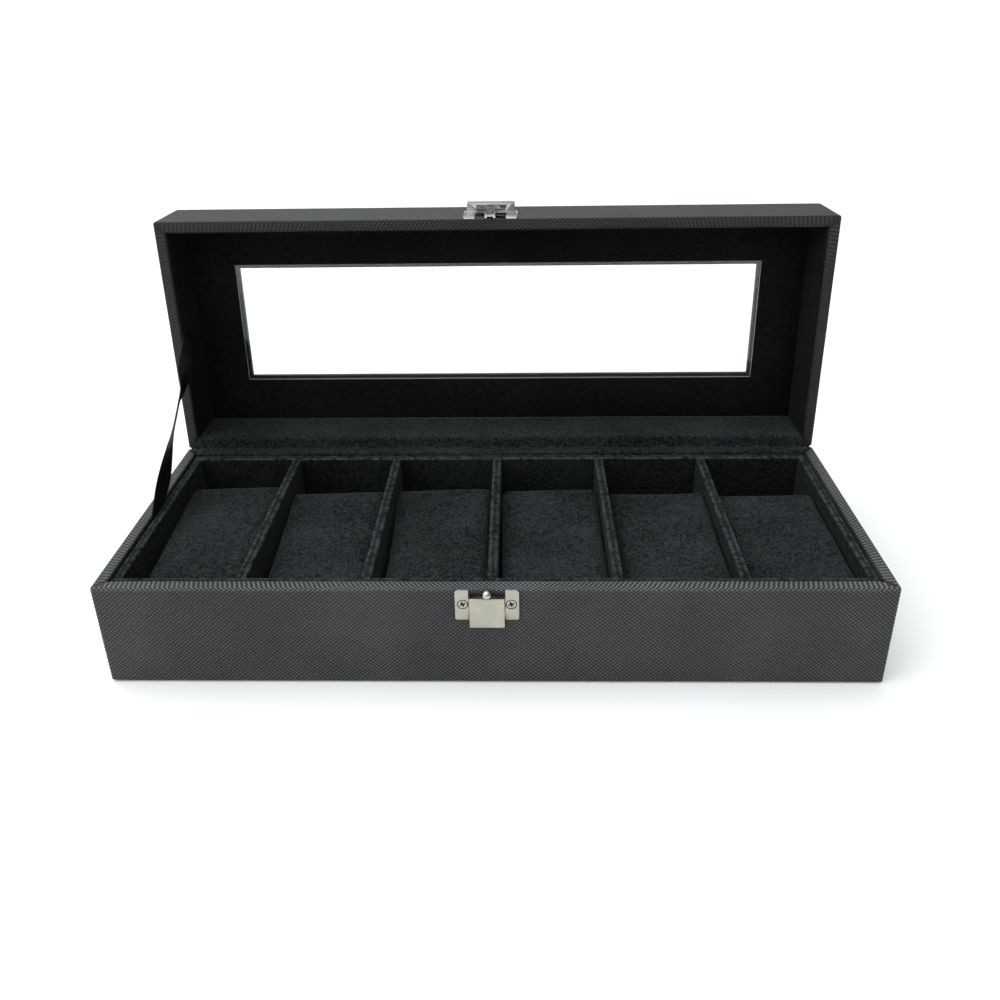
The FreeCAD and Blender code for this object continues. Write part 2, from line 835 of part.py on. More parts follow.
def make_hasp_clip():
    """A sprung channel riveted to the hasp: its two leaves reach past the rim and grip the ball."""
    body = new_body("hasp_clip", on_lid=True)
    inner = "(ball_radius + clip_gap)"
    outer = f"({inner} + clip)"
    web_top = "latch_plate + clip"
    add_box(body, *hasp_box("rim_gap + hasp_lift", "clip_end", f"-{outer}", outer, "latch_plate", web_top))
    leaf_low = "latch_plate"
    leaf_high = "ball_proud + clip_depth / 2"
    for left, right in ((f"-{outer}", f"-{inner} + clip"), (f"{inner} - clip", outer)):
        add_box(body, *hasp_box("-clip_reach", "hasp_slot", left, right, leaf_low, leaf_high))
    cut_box(body, *hasp_box("-ball_drop", "hasp_slot + 1", f"-{inner}", inner, web_top, f"{leaf_high} + 1"))
    cut_box(
        body, *hasp_box("-ball_drop", "rim_gap + hasp_lift", f"-{inner}", inner, "0", f"{leaf_high} + 1")
    )
    ball = ("latch_shift", lid_proud("ball_proud"), "-ball_drop")
    round_feature(body, "SubtractiveSphere", ball, "z", {"Radius": "ball_radius + clip_gap"})
    start = ("latch_shift", lid_proud("latch_plate + 1"), "rivet_place")
    bore = {"Radius": "rivet_radius + screw_gap", "Height": "latch_plate + 2"}
    round_feature(body, "SubtractiveCylinder", start, "y", bore)


def make_hasp_rivet():
    body = new_body("hasp_rivet", on_lid=True)
    start = ("latch_shift", lid_proud("latch_plate + clip + rivet_cap"), "rivet_place")
    shank = {"Radius": "rivet_radius", "Height": "latch_plate + clip + rivet_cap"}
    round_feature(body, "AdditiveCylinder", start, "y", shank)
    head = {"Radius": "rivet_head", "Height": "rivet_cap"}
    round_feature(body, "AdditiveCylinder", start, "y", head)


# --- Ribbon stay ---------------------------------------------------------------------------------


def eased(value, start, end):
    """Rises smoothly from 0 at the start to 1 at the end."""
    share = min(max((value - start) / (end - start), 0), 1)
    return share * share * (3 - 2 * share)


def make_ribbon_stay():
    """A flat satin ribbon from the slot beside the tray up to the lid's left lining."""
    thick = size("ribbon")
    inner_x = -size("box_width") / 2 + 2 * size("skin") + size("board")
    slot_x = inner_x + size("tray_gap") / 2
    lid_x = inner_x + size("lining") + size("ribbon_clear") + thick / 2
    angle = math.radians(size("open_angle"))
    reach = size("ribbon_reach")
    depth = size("rim_gap") + size("ribbon_depth")
    hinge_y = size("box_depth") / 2
    foot = Vector(slot_x, hinge_y - reach, size("base_height") - size("tray_drop"))
    head = Vector(
        lid_x,
        hinge_y - reach * math.cos(angle) + depth * math.sin(angle),
        size("base_height") + reach * math.sin(angle) + depth * math.cos(angle),
    )
    run = head - foot
    slope = math.atan2(run.z, run.y)
    stations = 20
    upright_lean = math.pi / 2
    sections = [
        (foot - Vector(0, 0, size("ribbon_tuck")), upright_lean, 0),
        (foot + Vector(0, 0, size("ribbon_rise")), upright_lean, 0),
    ]
    for number in range(1, stations + 1):
        share = number / stations
        lean = slope + (upright_lean - slope) * (1 - share) ** 4
        twist = math.radians(size("ribbon_twist")) * (eased(share, 0.12, 0.5) - eased(share, 0.62, 0.78))
        middle = foot + run * share
        middle.x = slot_x + (lid_x - slot_x) * eased(share, 0.12, 0.72)
        sections.append((middle, lean, twist))
    wires = []
    for middle, lean, twist in sections:
        along = Vector(0, math.cos(lean), math.sin(lean))
        across = Vector(0, -math.sin(lean), math.cos(lean))
        across = FreeCAD.Rotation(along, math.degrees(twist)).multVec(across) * (size("ribbon_width") / 2)
        normal = along.cross(across).normalize() * (thick / 2)
        corners = [middle - across - normal, middle + across - normal]
        corners += [middle + across + normal, middle - across + normal]
        wires.append(Part.makePolygon(corners + corners[:1]))
    ribbon = document.addObject("Part::Feature", "ribbon_stay")
    ribbon.Shape = Part.makeLoft(wires, True, True)
    finish(ribbon, "ribbon_stay")


make_base_boards()
make_base_wrap()
make_base_felt()
make_hinge_cloth()
make_tray()
make_pillows()
make_lid_boards()
make_lid_wrap()
make_window()
make_lid_lining()
make_latch_plate()
make_latch_button()
make_catch_ball()
make_latch_pin()
make_latch_spring()
make_screws("latch_screws", proud("latch_plate"), below("screw_drop"), on_lid=False)
make_hasp_plate()
make_hasp_clip()
make_hasp_rivet()
make_screws("hasp_screws", lid_proud("latch_plate"), "hasp_screw", on_lid=True)
make_ribbon_stay()

document.recompute()

for item in document.Objects:
    if "Invalid" in item.State or "Error" in item.State:
        raise RuntimeError(f"{item.Label} did not build: {item.State}")

for piece in created:
    shape = piece.Shape
    if shape.isNull() or not shape.isValid() or not shape.Solids:
        raise RuntimeError(f"{piece.Label} has no valid solid")
    shape.exportStep(os.path.join("parts", piece.Label + ".step"))
    print(piece.Label, len(shape.Solids), round(shape.Volume, 2))
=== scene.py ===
import json
import math

import bmesh
import bpy
import numpy as np
from mathutils import Matrix, Vector, noise


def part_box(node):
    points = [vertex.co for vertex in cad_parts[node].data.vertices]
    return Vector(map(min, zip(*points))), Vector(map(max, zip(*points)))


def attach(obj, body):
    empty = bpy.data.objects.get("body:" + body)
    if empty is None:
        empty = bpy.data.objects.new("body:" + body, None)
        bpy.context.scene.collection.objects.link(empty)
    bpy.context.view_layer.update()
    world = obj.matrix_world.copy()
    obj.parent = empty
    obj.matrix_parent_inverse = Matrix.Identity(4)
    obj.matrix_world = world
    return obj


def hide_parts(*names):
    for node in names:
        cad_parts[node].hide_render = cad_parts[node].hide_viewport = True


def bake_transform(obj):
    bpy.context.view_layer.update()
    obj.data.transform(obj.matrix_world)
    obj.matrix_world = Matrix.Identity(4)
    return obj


# Watch box with a leatherette wrap, velvet tray, six pillows, a glazed lid and a press latch.

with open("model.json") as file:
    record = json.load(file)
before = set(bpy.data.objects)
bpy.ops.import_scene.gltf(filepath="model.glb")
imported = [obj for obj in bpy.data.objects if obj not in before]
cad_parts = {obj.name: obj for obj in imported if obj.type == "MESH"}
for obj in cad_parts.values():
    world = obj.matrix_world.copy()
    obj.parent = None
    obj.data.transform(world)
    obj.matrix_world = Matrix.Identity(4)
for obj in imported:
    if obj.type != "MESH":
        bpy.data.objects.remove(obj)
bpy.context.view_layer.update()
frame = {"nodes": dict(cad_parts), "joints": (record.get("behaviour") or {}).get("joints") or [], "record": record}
mm = 0.001

# Places read from the frame

joints = {joint["name"]: joint for joint in frame["joints"]}
hingePoint = Vector(joints["lid_hinge"]["pos_m"])
openAngle = math.radians(-joints["lid_hinge"]["range_deg"][0])
lidTurn = Matrix.Translation(hingePoint) @ Matrix.Rotation(openAngle, 4, Vector((-1, 0, 0)))
wrapLow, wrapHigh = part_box("base_wrap")
halfWidth = wrapHigh.x
halfDepth = wrapHigh.y


# Lowest and highest corner of a lid node in the shut lid's own frame.
def lidSpan(node):
    points = np.array([v.co for v in frame["nodes"][node].data.vertices])
    inverse = np.array(lidTurn.inverted())
    points = points @ inverse[:3, :3].T + inverse[:3, 3]
    return Vector(points.min(0)), Vector(points.max(0))


# Camera, light and floor

camera = {
    "place": (0.01158, -0.32487, 0.24821),
    "pitch": 24.34,
    "yaw": -1.515,
    "roll": -0.926,
    "lens": 31.965,
    "shiftY": -0.1109,
}


def makeCamera():
    pitch, yaw, roll = (math.radians(camera[key]) for key in ("pitch", "yaw", "roll"))
    ahead = Vector((math.sin(yaw) * math.cos(pitch), math.cos(yaw) * math.cos(pitch), -math.sin(pitch)))
    right = Vector((math.cos(yaw), -math.sin(yaw), 0))
    down = ahead.cross(right)
    imageRight = math.cos(roll) * right - math.sin(roll) * down
    imageDown = math.sin(roll) * right + math.cos(roll) * down
    turn = Matrix((imageRight, -imageDown, -ahead)).transposed()
    data = bpy.data.cameras.new("camera")
    data.lens = camera["lens"]
    data.shift_y = camera["shiftY"]
    data.clip_start = 0.01
    data.clip_end = 100
    eye = bpy.data.objects.new("camera", data)
    eye.matrix_world = Matrix.Translation(camera["place"]) @ turn.to_4x4()
    bpy.context.scene.collection.objects.link(eye)
    bpy.context.scene.camera = eye


studio = {
    # brightness of the dome by height, from the horizon to overhead
    "dome": ((0.0, 0.95), (0.02, 0.95), (0.06, 0.16), (1.0, 1.0)),
    "strength": 1.65,
    "leftwards": 0.65,
    "tint": (0.97, 1.0, 1.01, 1),
    "floorColour": (0.95, 0.95, 0.95, 1),
    "floorSize": 600,
    # name, place, aims at, size, watts
    "lamps": [
        ("topSoftbox", (-0.15, -0.1, 1.3), (0, 0.0, 0.05), (1.4, 0.9), 3),
        ("leftKey", (-1.1, -0.7, 0.9), (0, 0, 0.05), (0.8, 0.8), 5),
    ],
}


def makeStudio():
    world = bpy.data.worlds.new("studio")
    bpy.context.scene.world = world
    world.use_nodes = True
    nodes, join = world.node_tree.nodes, world.node_tree.links.new
    sky = nodes["Background"]
    sky.inputs["Color"].default_value = studio["tint"]
    # a pale dome, brightest overhead and to the left
    facing = nodes.new("ShaderNodeTexCoord")
    split = nodes.new("ShaderNodeSeparateXYZ")
    rise = nodes.new("ShaderNodeValToRGB")
    for number, (height, bright) in enumerate(studio["dome"]):
        stop = rise.color_ramp.elements[number] if number < 2 else rise.color_ramp.elements.new(height)
        stop.position = height
        stop.color = (bright, bright, bright, 1)
    side = nodes.new("ShaderNodeMath")
    side.operation = "MULTIPLY_ADD"
    side.inputs[1].default_value = -studio["leftwards"] * studio["strength"]
    side.inputs[2].default_value = studio["strength"]
    both = nodes.new("ShaderNodeMath")
    both.operation = "MULTIPLY"
    join(facing.outputs["Generated"], split.inputs["Vector"])
    join(split.outputs["Z"], rise.inputs["Fac"])
    join(split.outputs["X"], side.inputs[0])
    join(rise.outputs["Color"], both.inputs[0])
    join(side.outputs["Value"], both.inputs[1])
    join(both.outputs["Value"], sky.inputs["Strength"])
    for name, place, target, extent, watts in studio["lamps"]:
        data = bpy.data.lights.new(name, "AREA")
        data.shape = "RECTANGLE"
        data.size, data.size_y = extent
        data.energy = watts
        lamp = bpy.data.objects.new(name, data)
        lamp.location = place
        lamp.rotation_euler = (Vector(target) - Vector(place)).to_track_quat("-Z", "Y").to_euler()
        bpy.context.scene.collection.objects.link(lamp)
    half = studio["floorSize"] / 2
    mesh = bpy.data.meshes.new("floor")
    corners = [(-half, -half, 0), (half, -half, 0), (half, half, 0), (-half, half, 0)]
    mesh.from_pydata(corners, [], [(0, 1, 2, 3)])
    floor = bpy.data.objects.new("floor", mesh)
    bpy.context.scene.collection.objects.link(floor)
    finish = bpy.data.materials.new("floorPaper")
    finish.use_nodes = True
    shader = finish.node_tree.nodes["Principled BSDF"]
    shader.inputs["Base Color"].default_value = studio["floorColour"]
    shader.inputs["Roughness"].default_value = 0.9
    shader.inputs["Specular IOR Level"].default_value = 0.1
    mesh.materials.append(finish)
    bpy.context.scene.view_settings.view_transform = "Standard"


makeCamera()
makeStudio()
print("camera and studio ready")

# Materials


# A material being built: its nodes are added by type and joined by socket name.
class Finish:
    def __init__(self, name):
        self.material = bpy.data.materials.new(name)
        self.material.use_nodes = True
        self.tree = self.material.node_tree
        self.shader = self.tree.nodes["Principled BSDF"]
        self.output = self.tree.nodes["Material Output"]

    def add(self, kind, **values):
        node = self.tree.nodes.new("ShaderNode" + kind)
        for key, value in values.items():
            setattr(node, key, value)
        return node

    # Joins a socket, or sets a plain value.
    def join(self, source, target):
        if isinstance(source, bpy.types.NodeSocket):
            self.tree.links.new(source, target)
        else:
            target.default_value = (*source, 1) if isinstance(source, tuple) else source

    def paint(self, colour):
        self.join(colour, self.shader.inputs["Base Color"])

    def roughen(self, rough):
        self.join(rough, self.shader.inputs["Roughness"])

    def set(self, **values):
        for key, value in values.items():
            self.shader.inputs[key.replace("_", " ")].default_value = value

    def noise(self, scale, detail=2.0, rough=0.5, coordinates=None, stretch=None):
        source = coordinates or self.add("TexCoord").outputs["Object"]
        if stretch is not None:
            mapping = self.add("Mapping")
            mapping.inputs["Scale"].default_value = stretch
            self.join(source, mapping.inputs["Vector"])
            source = mapping.outputs["Vector"]
        node = self.add("TexNoise")
        node.inputs["Scale"].default_value = scale
        node.inputs["Detail"].default_value = detail
        node.inputs["Roughness"].default_value = rough
        self.join(source, node.inputs["Vector"])
        return node.outputs["Fac"]

    def spread(self, value, low, high, toLow=0.0, toHigh=1.0):
        node = self.add("MapRange")
        self.join(value, node.inputs["Value"])
        for key, number in zip(("From Min", "From Max", "To Min", "To Max"), (low, high, toLow, toHigh)):
            node.inputs[key].default_value = number
        return node.outputs["Result"]

    def blend(self, factor, dark, light):
        node = self.add("Mix", data_type="RGBA")
        self.join(factor, node.inputs["Factor"])
        self.join(dark, node.inputs["A"])
        self.join(light, node.inputs["B"])
        return node.outputs["Result"]

    def math(self, operation, first, second):
        node = self.add("Math", operation=operation)
        self.join(first, node.inputs[0])
        self.join(second, node.inputs[1])
        return node.outputs["Value"]

    def bump(self, height, strength, distance):
        node = self.add("Bump")
        node.inputs["Strength"].default_value = strength
        node.inputs["Distance"].default_value = distance
        self.join(height, node.inputs["Height"])
        self.join(node.outputs["Normal"], self.shader.inputs["Normal"])


leatherette = {
    "valley": (0.0025, 0.003, 0.0035),
    "tip": (0.098, 0.104, 0.106),
    "wearAndPaintedLight": (0.36, 0.37, 0.37),
    "paintedRimShade": 0.34,
    "dome": (-0.15, 0.95),
    "relief": 0.26 * mm,
    "grain": 0.2,
    "shine": 0.32,
    "rough": (0.34, 0.55),
}


def makeLeatherette():
    finish = Finish("leatherette")
    pressed = finish.add("Attribute", attribute_name="emboss").outputs["Fac"]
    edge = finish.add("Attribute", attribute_name="edge").outputs["Fac"]
    split = finish.add("SeparateXYZ")
    finish.join(finish.add("UVMap", uv_map="Weave").outputs["UV"], split.inputs["Vector"])
    turns = [finish.math("MULTIPLY", split.outputs[axis], math.pi) for axis in ("X", "Y")]
    waves = [finish.math("COSINE", turn, 0.0) for turn in turns]
    dome = finish.spread(finish.math("MULTIPLY", *waves), *leatherette["dome"])
    raised = finish.math("MULTIPLY", dome, pressed)
    cloud = finish.noise(28, 3)
    grain = finish.noise(2600, 3, 0.6)
    tone = finish.math("MULTIPLY", raised, 0.8)
    tone = finish.math("ADD", tone, finish.spread(grain, 0.35, 0.65, -0.1, 0.16))
    tone = finish.math("ADD", tone, finish.spread(cloud, 0.35, 0.65, -0.07, 0.07))
    # painted shade: where the edge is below zero, the rim is painted darker
    paintedRimShade = finish.math("MULTIPLY", finish.math("MINIMUM", edge, 0.0), leatherette["paintedRimShade"])
    tone = finish.math("ADD", tone, paintedRimShade)
    # valleys painted dark and bump tips painted light: partly painted shade in the pits and painted highlight on
    # the tips, partly wear on the tips
    colour = finish.blend(finish.spread(tone, 0, 1), leatherette["valley"], leatherette["tip"])
    # wear and painted highlight: raised tips on the rim's edge are painted the light worn colour, partly rubbing
    # and partly the light the bumps catch there
    wearAndHighlightMask = finish.math("MULTIPLY", finish.math("MAXIMUM", edge, 0.0), raised)
    wearAndHighlightMask = finish.math("MULTIPLY", wearAndHighlightMask, finish.spread(grain, 0.4, 0.6, 0.35, 0.9))
    finish.paint(finish.blend(wearAndHighlightMask, colour, leatherette["wearAndPaintedLight"]))
    finish.roughen(finish.spread(grain, 0.3, 0.7, *leatherette["rough"]))
    finish.set(Specular_IOR_Level=leatherette["shine"])
    height = finish.math("ADD", raised, finish.math("MULTIPLY", grain, leatherette["grain"]))
    finish.bump(height, 1.0, leatherette["relief"])
    return finish.material


velvet = {
    "deep": (0.002, 0.0027, 0.0031),
    "pile": (0.017, 0.0205, 0.0215),
    "sheen": 0.05,
    # colour of the painted highlight along the fold lines
    "fold": (0.05, 0.058, 0.06),
    # lit and shaded copies of the tray velvet: how much lighter or darker than the tray each other cloth is
    # painted, the pillows and the hinge lighter as painted light, the lining darker as painted shade
    "pillowPaintedLight": 1.7,
    "liningPaintedShade": 0.5,
    "hingePaintedLight": 1.9,
    "sheenRoughness": 0.42,
    "sheenTint": (0.5, 0.58, 0.6, 1),
}


def makeVelvet(name, paintedLightScale=1.0):
    finish = Finish(name)
    pile = finish.noise(1000, 3, 0.7)
    tuft = finish.noise(420, 2, 0.55)
    brushed = finish.noise(22, 4, 0.6, stretch=(1, 1.6, 1))
    tone = finish.spread(pile, 0.4, 0.62, 0, 0.8)
    tone = finish.math("ADD", tone, finish.spread(tuft, 0.35, 0.65, -0.14, 0.16))
    tone = finish.math("ADD", tone, finish.spread(brushed, 0.35, 0.65, -0.12, 0.22))
    # painted light and shade: the pile colour is scaled up or down for each copy
    light = tuple(paintedLightScale * value for value in velvet["pile"])
    colour = finish.blend(finish.spread(tone, 0, 1), velvet["deep"], light)
    # painted highlight: where the cloth is folded over an edge its colour is lightened, standing in for the light
    # the pile catches there
    fold = finish.add("Attribute", attribute_name="fold").outputs["Fac"]
    foldHighlight = finish.math("MULTIPLY", fold, finish.spread(tuft, 0.36, 0.62, 0.05, 0.85))
    finish.paint(finish.blend(foldHighlight, colour, velvet["fold"]))
    finish.set(Roughness=0.95, Specular_IOR_Level=0.08, Sheen_Weight=velvet["sheen"] * paintedLightScale)
    finish.set(Sheen_Roughness=velvet["sheenRoughness"], Sheen_Tint=velvet["sheenTint"])
    height = finish.math("ADD", pile, finish.math("MULTIPLY", tuft, 0.7))
    finish.bump(height, 0.75, 0.45 * mm)
    return finish.material


satin = {
    "dark": (0.002, 0.0023, 0.0026),
    "light": (0.0085, 0.0095, 0.0105),
    "rough": (0.28, 0.46),
    "threads": (2400, 160, 1),
}


def makeSatin():
    finish = Finish("ribbonSatin")
    along = finish.add("UVMap", uv_map="Weave").outputs["UV"]
    threads = finish.noise(1.0, 2, 0.5, coordinates=along, stretch=satin["threads"])
    finish.paint(finish.blend(finish.spread(threads, 0.3, 0.7), satin["dark"], satin["light"]))
    finish.roughen(finish.spread(threads, 0.3, 0.7, *satin["rough"]))
    finish.set(Specular_IOR_Level=0.25)
    finish.bump(threads, 0.3, 0.05 * mm)
    return finish.material


# near-black colour of the painted shade in the screws' groove and cross
recessShadeColour = (0.012, 0.011, 0.009)


def makeMetal(name, metal):
    finish = Finish(name)
    film = finish.noise(140, 4, 0.6)
    fine = finish.noise(2200, 2, 0.5, stretch=metal["brushed"])
    grime = finish.add("Attribute", attribute_name="grime").outputs["Fac"]
    plate = finish.blend(finish.spread(film, 0.35, 0.65), metal["colour"], metal["shade"])
    # painted shade: marked recesses are painted near black
    finish.paint(finish.blend(grime, plate, recessShadeColour))
    mixed = finish.math("ADD", finish.math("MULTIPLY", film, 0.6), finish.math("MULTIPLY", fine, 0.4))
    finish.roughen(finish.spread(mixed, 0.35, 0.65, *metal["rough"]))
    finish.set(Metallic=1.0)
    finish.bump(fine, 0.12, 0.02 * mm)
    return finish.material


# A finish speckled between two colours, with a bump of the same speckle.
def makeSpeckled(name, grain, dark, light, bump, **shader):
    finish = Finish(name)
    speck = finish.noise(*grain)
    finish.paint(finish.blend(finish.spread(speck, 0.3, 0.7), dark, light))
    finish.set(**shader)
    finish.bump(speck, *bump)
    return finish.material


def makeGlass():
    finish = Finish("windowGlass")
    dust = finish.noise(60, 4, 0.6)
    finish.roughen(finish.spread(dust, 0.5, 0.9, 0.0, 0.05))
    finish.set(Base_Color=(0.985, 1.0, 0.995, 1), Transmission_Weight=1.0, IOR=1.5)
    clear = finish.add("BsdfTransparent")
    ray = finish.add("LightPath")
    mixer = finish.add("MixShader")
    finish.join(ray.outputs["Is Shadow Ray"], mixer.inputs["Fac"])
    finish.join(finish.shader.outputs["BSDF"], mixer.inputs[1])
    finish.join(clear.outputs["BSDF"], mixer.inputs[2])
    finish.join(mixer.outputs["Shader"], finish.output.inputs["Surface"])
    return finish.material


felt = {
    "grain": (900, 5, 0.7),
    "dark": (0.006, 0.006, 0.007),
    "light": (0.03, 0.031, 0.033),
    "bump": (0.8, 0.4 * mm),
    "Roughness": 1.0,
    "Sheen_Weight": 0.25,
    "Sheen_Roughness": 0.6,
    "Specular_IOR_Level": 0.05,
}
blackBoard = {
    "grain": (700, 5, 0.7),
    "dark": (0.006, 0.006, 0.0065),
    "light": (0.028, 0.028, 0.029),
    "bump": (0.4, 0.2 * mm),
    "Roughness": 0.9,
}
glassEdge = {
    "grain": (1800, 3, 0.6),
    "dark": (0.2, 0.235, 0.225),
    "light": (0.42, 0.47, 0.45),
    "bump": (0.3, 0.04 * mm),
    "Roughness": 0.3,
    "Specular_IOR_Level": 0.8,
}
satinNickel = {
    "colour": (0.43, 0.42, 0.355),
    "shade": (0.37, 0.36, 0.305),
    "rough": (0.24, 0.38),
    "brushed": (1, 1, 0.15),
}
brightNickel = {
    "colour": (0.52, 0.51, 0.485),
    "shade": (0.44, 0.43, 0.405),
    "rough": (0.08, 0.16),
    "brushed": (0.2, 1, 1),
}

finishes = {
    "leatherette": makeLeatherette(),
    "velvet": makeVelvet("velvetTray"),
    "pillow": makeVelvet("velvetPillow", velvet["pillowPaintedLight"]),
    "lining": makeVelvet("velvetLining", velvet["liningPaintedShade"]),
    "hinge": makeVelvet("velvetHinge", velvet["hingePaintedLight"]),
    "ribbon": makeSatin(),
    "nickel": makeMetal("satinNickel", satinNickel),
    "bright_nickel": makeMetal("brightNickel", brightNickel),
    "felt": makeSpeckled("baseFelt", **felt),
    "board": makeSpeckled("blackBoard", **blackBoard),
    "glass": makeGlass(),
    "glassEdge": makeSpeckled("glassEdge", **glassEdge),
}
finishes["velvet_board"] = finishes["velvet"]

slotOf = {part["node"]: part["material_slot"] for part in frame["record"]["subparts"]}
for node, piece in frame["nodes"].items():
    material = finishes[slotOf[node]]
    if not piece.material_slots:
        piece.data.materials.append(material)
    for held in piece.material_slots:
        held.material = material
print("materials ready")

# Shared mesh helpers


def newPiece(name, points, faces, material, weaveAt=None):
    mesh = bpy.data.meshes.new(name)
    mesh.from_pydata([tuple(p) for p in points], [], faces)
    mesh.materials.append(material)
    if weaveAt is not None:
        layer = mesh.uv_layers.new(name="Weave")
        layer.data.foreach_set("uv", np.asarray(weaveAt, np.float32).ravel())
    mesh.validate()
    mesh.shade_smooth()
    piece = bpy.data.objects.new(name, mesh)
    bpy.context.scene.collection.objects.link(piece)
    return piece


def settle(piece, body, nodes):
    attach(piece, body)
    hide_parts(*nodes)


# A soft piece that bends between two bodies.
def bend(piece, nodes):
    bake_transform(piece)
    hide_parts(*nodes)


# The evaluated object as one plain mesh object; the source is thrown away.
def plainMesh(source, name):
    graph = bpy.context.evaluated_depsgraph_get()
    mesh = bpy.data.meshes.new_from_object(source.evaluated_get(graph), depsgraph=graph)
    piece = bpy.data.objects.new(name, mesh)
    mesh.name = name
    bpy.context.scene.collection.objects.link(piece)
    bpy.data.objects.remove(source)
    return piece


def wobble(point, scale, amount, seed):
    shifted = Vector(point) * scale + Vector((seed * 3.7, seed * 1.3, seed * 2.1))
    return amount * noise.noise(shifted)


softening = {
    "merge": 0.002 * mm,
    "flatAngle": 1,  # triangles nearer to flat than this are joined
    "bevelAngle": 30,
    "sharpAngle": 38,
    "segments": 2,
}


# A CAD node's mesh with its corners merged and its flat triangles joined.
def cleanCopy(node, name):
    bm = bmesh.new()
    bm.from_mesh(frame["nodes"][node].data)
    bmesh.ops.remove_doubles(bm, verts=bm.verts, dist=softening["merge"])
    flat = math.radians(softening["flatAngle"])
    bmesh.ops.dissolve_limit(bm, angle_limit=flat, verts=bm.verts, edges=bm.edges)
    mesh = bpy.data.meshes.new(name)
    bm.to_mesh(mesh)
    bm.free()
    mesh.materials.clear()
    mesh.materials.append(finishes[slotOf[node]])
    piece = bpy.data.objects.new(name, mesh)
    bpy.context.scene.collection.objects.link(piece)
    return piece


# A CAD node with its sharp edges eased.
def softened(node, name, width):
    piece = cleanCopy(node, name + "Raw")
    bevel = piece.modifiers.new("edges", "BEVEL")
    bevel.width = width
    bevel.segments = softening["segments"]
    bevel.limit_method = "ANGLE"
    bevel.angle_limit = math.radians(softening["bevelAngle"])
    bevel.harden_normals = False
    piece = plainMesh(piece, name)
    piece.data.shade_smooth()
    piece.data.set_sharp_from_angle(angle=math.radians(softening["sharpAngle"]))
    return piece


# Leatherette wraps

weave = {
    "pitch": 0.925 * mm,  # half the distance between bumps along a row
    "row": 0.87 * mm,
    "height": 0.09 * mm,
    "cornerRound": 0.9 * mm,
    "smallestRound": 0.12 * mm,
}


# Positions from stop to stop in near-equal steps, always an even number of them in each stretch.
def divided(stops, step):
    values = [stops[0]]
    for start, end in zip(stops, stops[1:]):
        count = max(2, 2 * round(abs(end - start) / step / 2))
        values += [start + (end - start) * k / count for k in range(1, count + 1)]
    return np.array(values)


# Walks the border of a countX by countY grid once, anticlockwise from the low corner.
def ringIndex(countX, countY):
    ring = [(i, 0) for i in range(countX - 1)]
    ring += [(countX - 1, j) for j in range(countY - 1)]
    ring += [(i, countY - 1) for i in range(countX - 1, 0, -1)]
    ring += [(0, j) for j in range(countY - 1, 0, -1)]
    return ring


# Moves a point of a rectangle's border onto the same border with round corners.
def roundCorner(x, y, halfX, halfY, radius):
    centreX, centreY = halfX - radius, halfY - radius
    a, b = abs(x) - centreX, abs(y) - centreY
    if a <= 0 or b <= 0:
        return x, y
    far = max(a, b)
    length = math.hypot(a, b)
    return math.copysign(centreX + a / length * far, x), math.copysign(centreY + b / length * far, y)


# One loop of the wrap: the grid's border pulled in by an inset, at a height.
def ringPoints(ring, xs, ys, halfX, halfY, inset, z):
    insideX, insideY = halfX - inset, halfY - inset
    radius = max(weave["cornerRound"] - inset, weave["smallestRound"])
    scaleX, scaleY = insideX / abs(xs[0]), insideY / abs(ys[0])
    points = []
    for i, j in ring:
        x, y = roundCorner(xs[i] * scaleX, ys[j] * scaleY, insideX, insideY, radius)
        points.append((x, y, z))
    return np.array(points)


# Profile points of a round, as (inset, height).
def arc(insetCentre, zCentre, radius, fromAngle, toAngle, steps):
    angles = np.linspace(math.radians(fromAngle), math.radians(toAngle), steps + 1)
    return [(insetCentre + radius * math.cos(t), zCentre + radius * math.sin(t)) for t in angles]


def straight(start, end, step):
    count = max(1, round(math.hypot(end[0] - start[0], end[1] - start[1]) / step))
    return [
        (start[0] + (end[0] - start[0]) * k / count, start[1] + (end[1] - start[1]) * k / count)
        for k in range(1, count + 1)
    ]


# Quads of a closed loop swept through rows, with its two ends closed.
def sweepFaces(rows, width, outwards):
    faces = []
    for first in range(0, (rows - 1) * width, width):
        for m in range(width):
            after = (m + 1) % width
            faces.append((first + m, first + after, first + width + after, first + width + m))
    faces += [tuple(range(width))[::-1], tuple(range((rows - 1) * width, rows * width))]
    return faces if outwards else [face[::-1] for face in faces]


def vertexNormals(points, faces):
    mesh = bpy.data.meshes.new("scratch")
    mesh.from_pydata([tuple(p) for p in points], [], faces)
    normals = np.zeros(len(points) * 3, np.float32)
    mesh.vertex_normals.foreach_get("vector", normals)
    bpy.data.meshes.remove(mesh)
    return normals.reshape(-1, 3)


def addAttribute(piece, name, values):
    held = piece.data.attributes.new(name, "FLOAT", "POINT")
    held.data.foreach_set("value", np.asarray(values, np.float32))


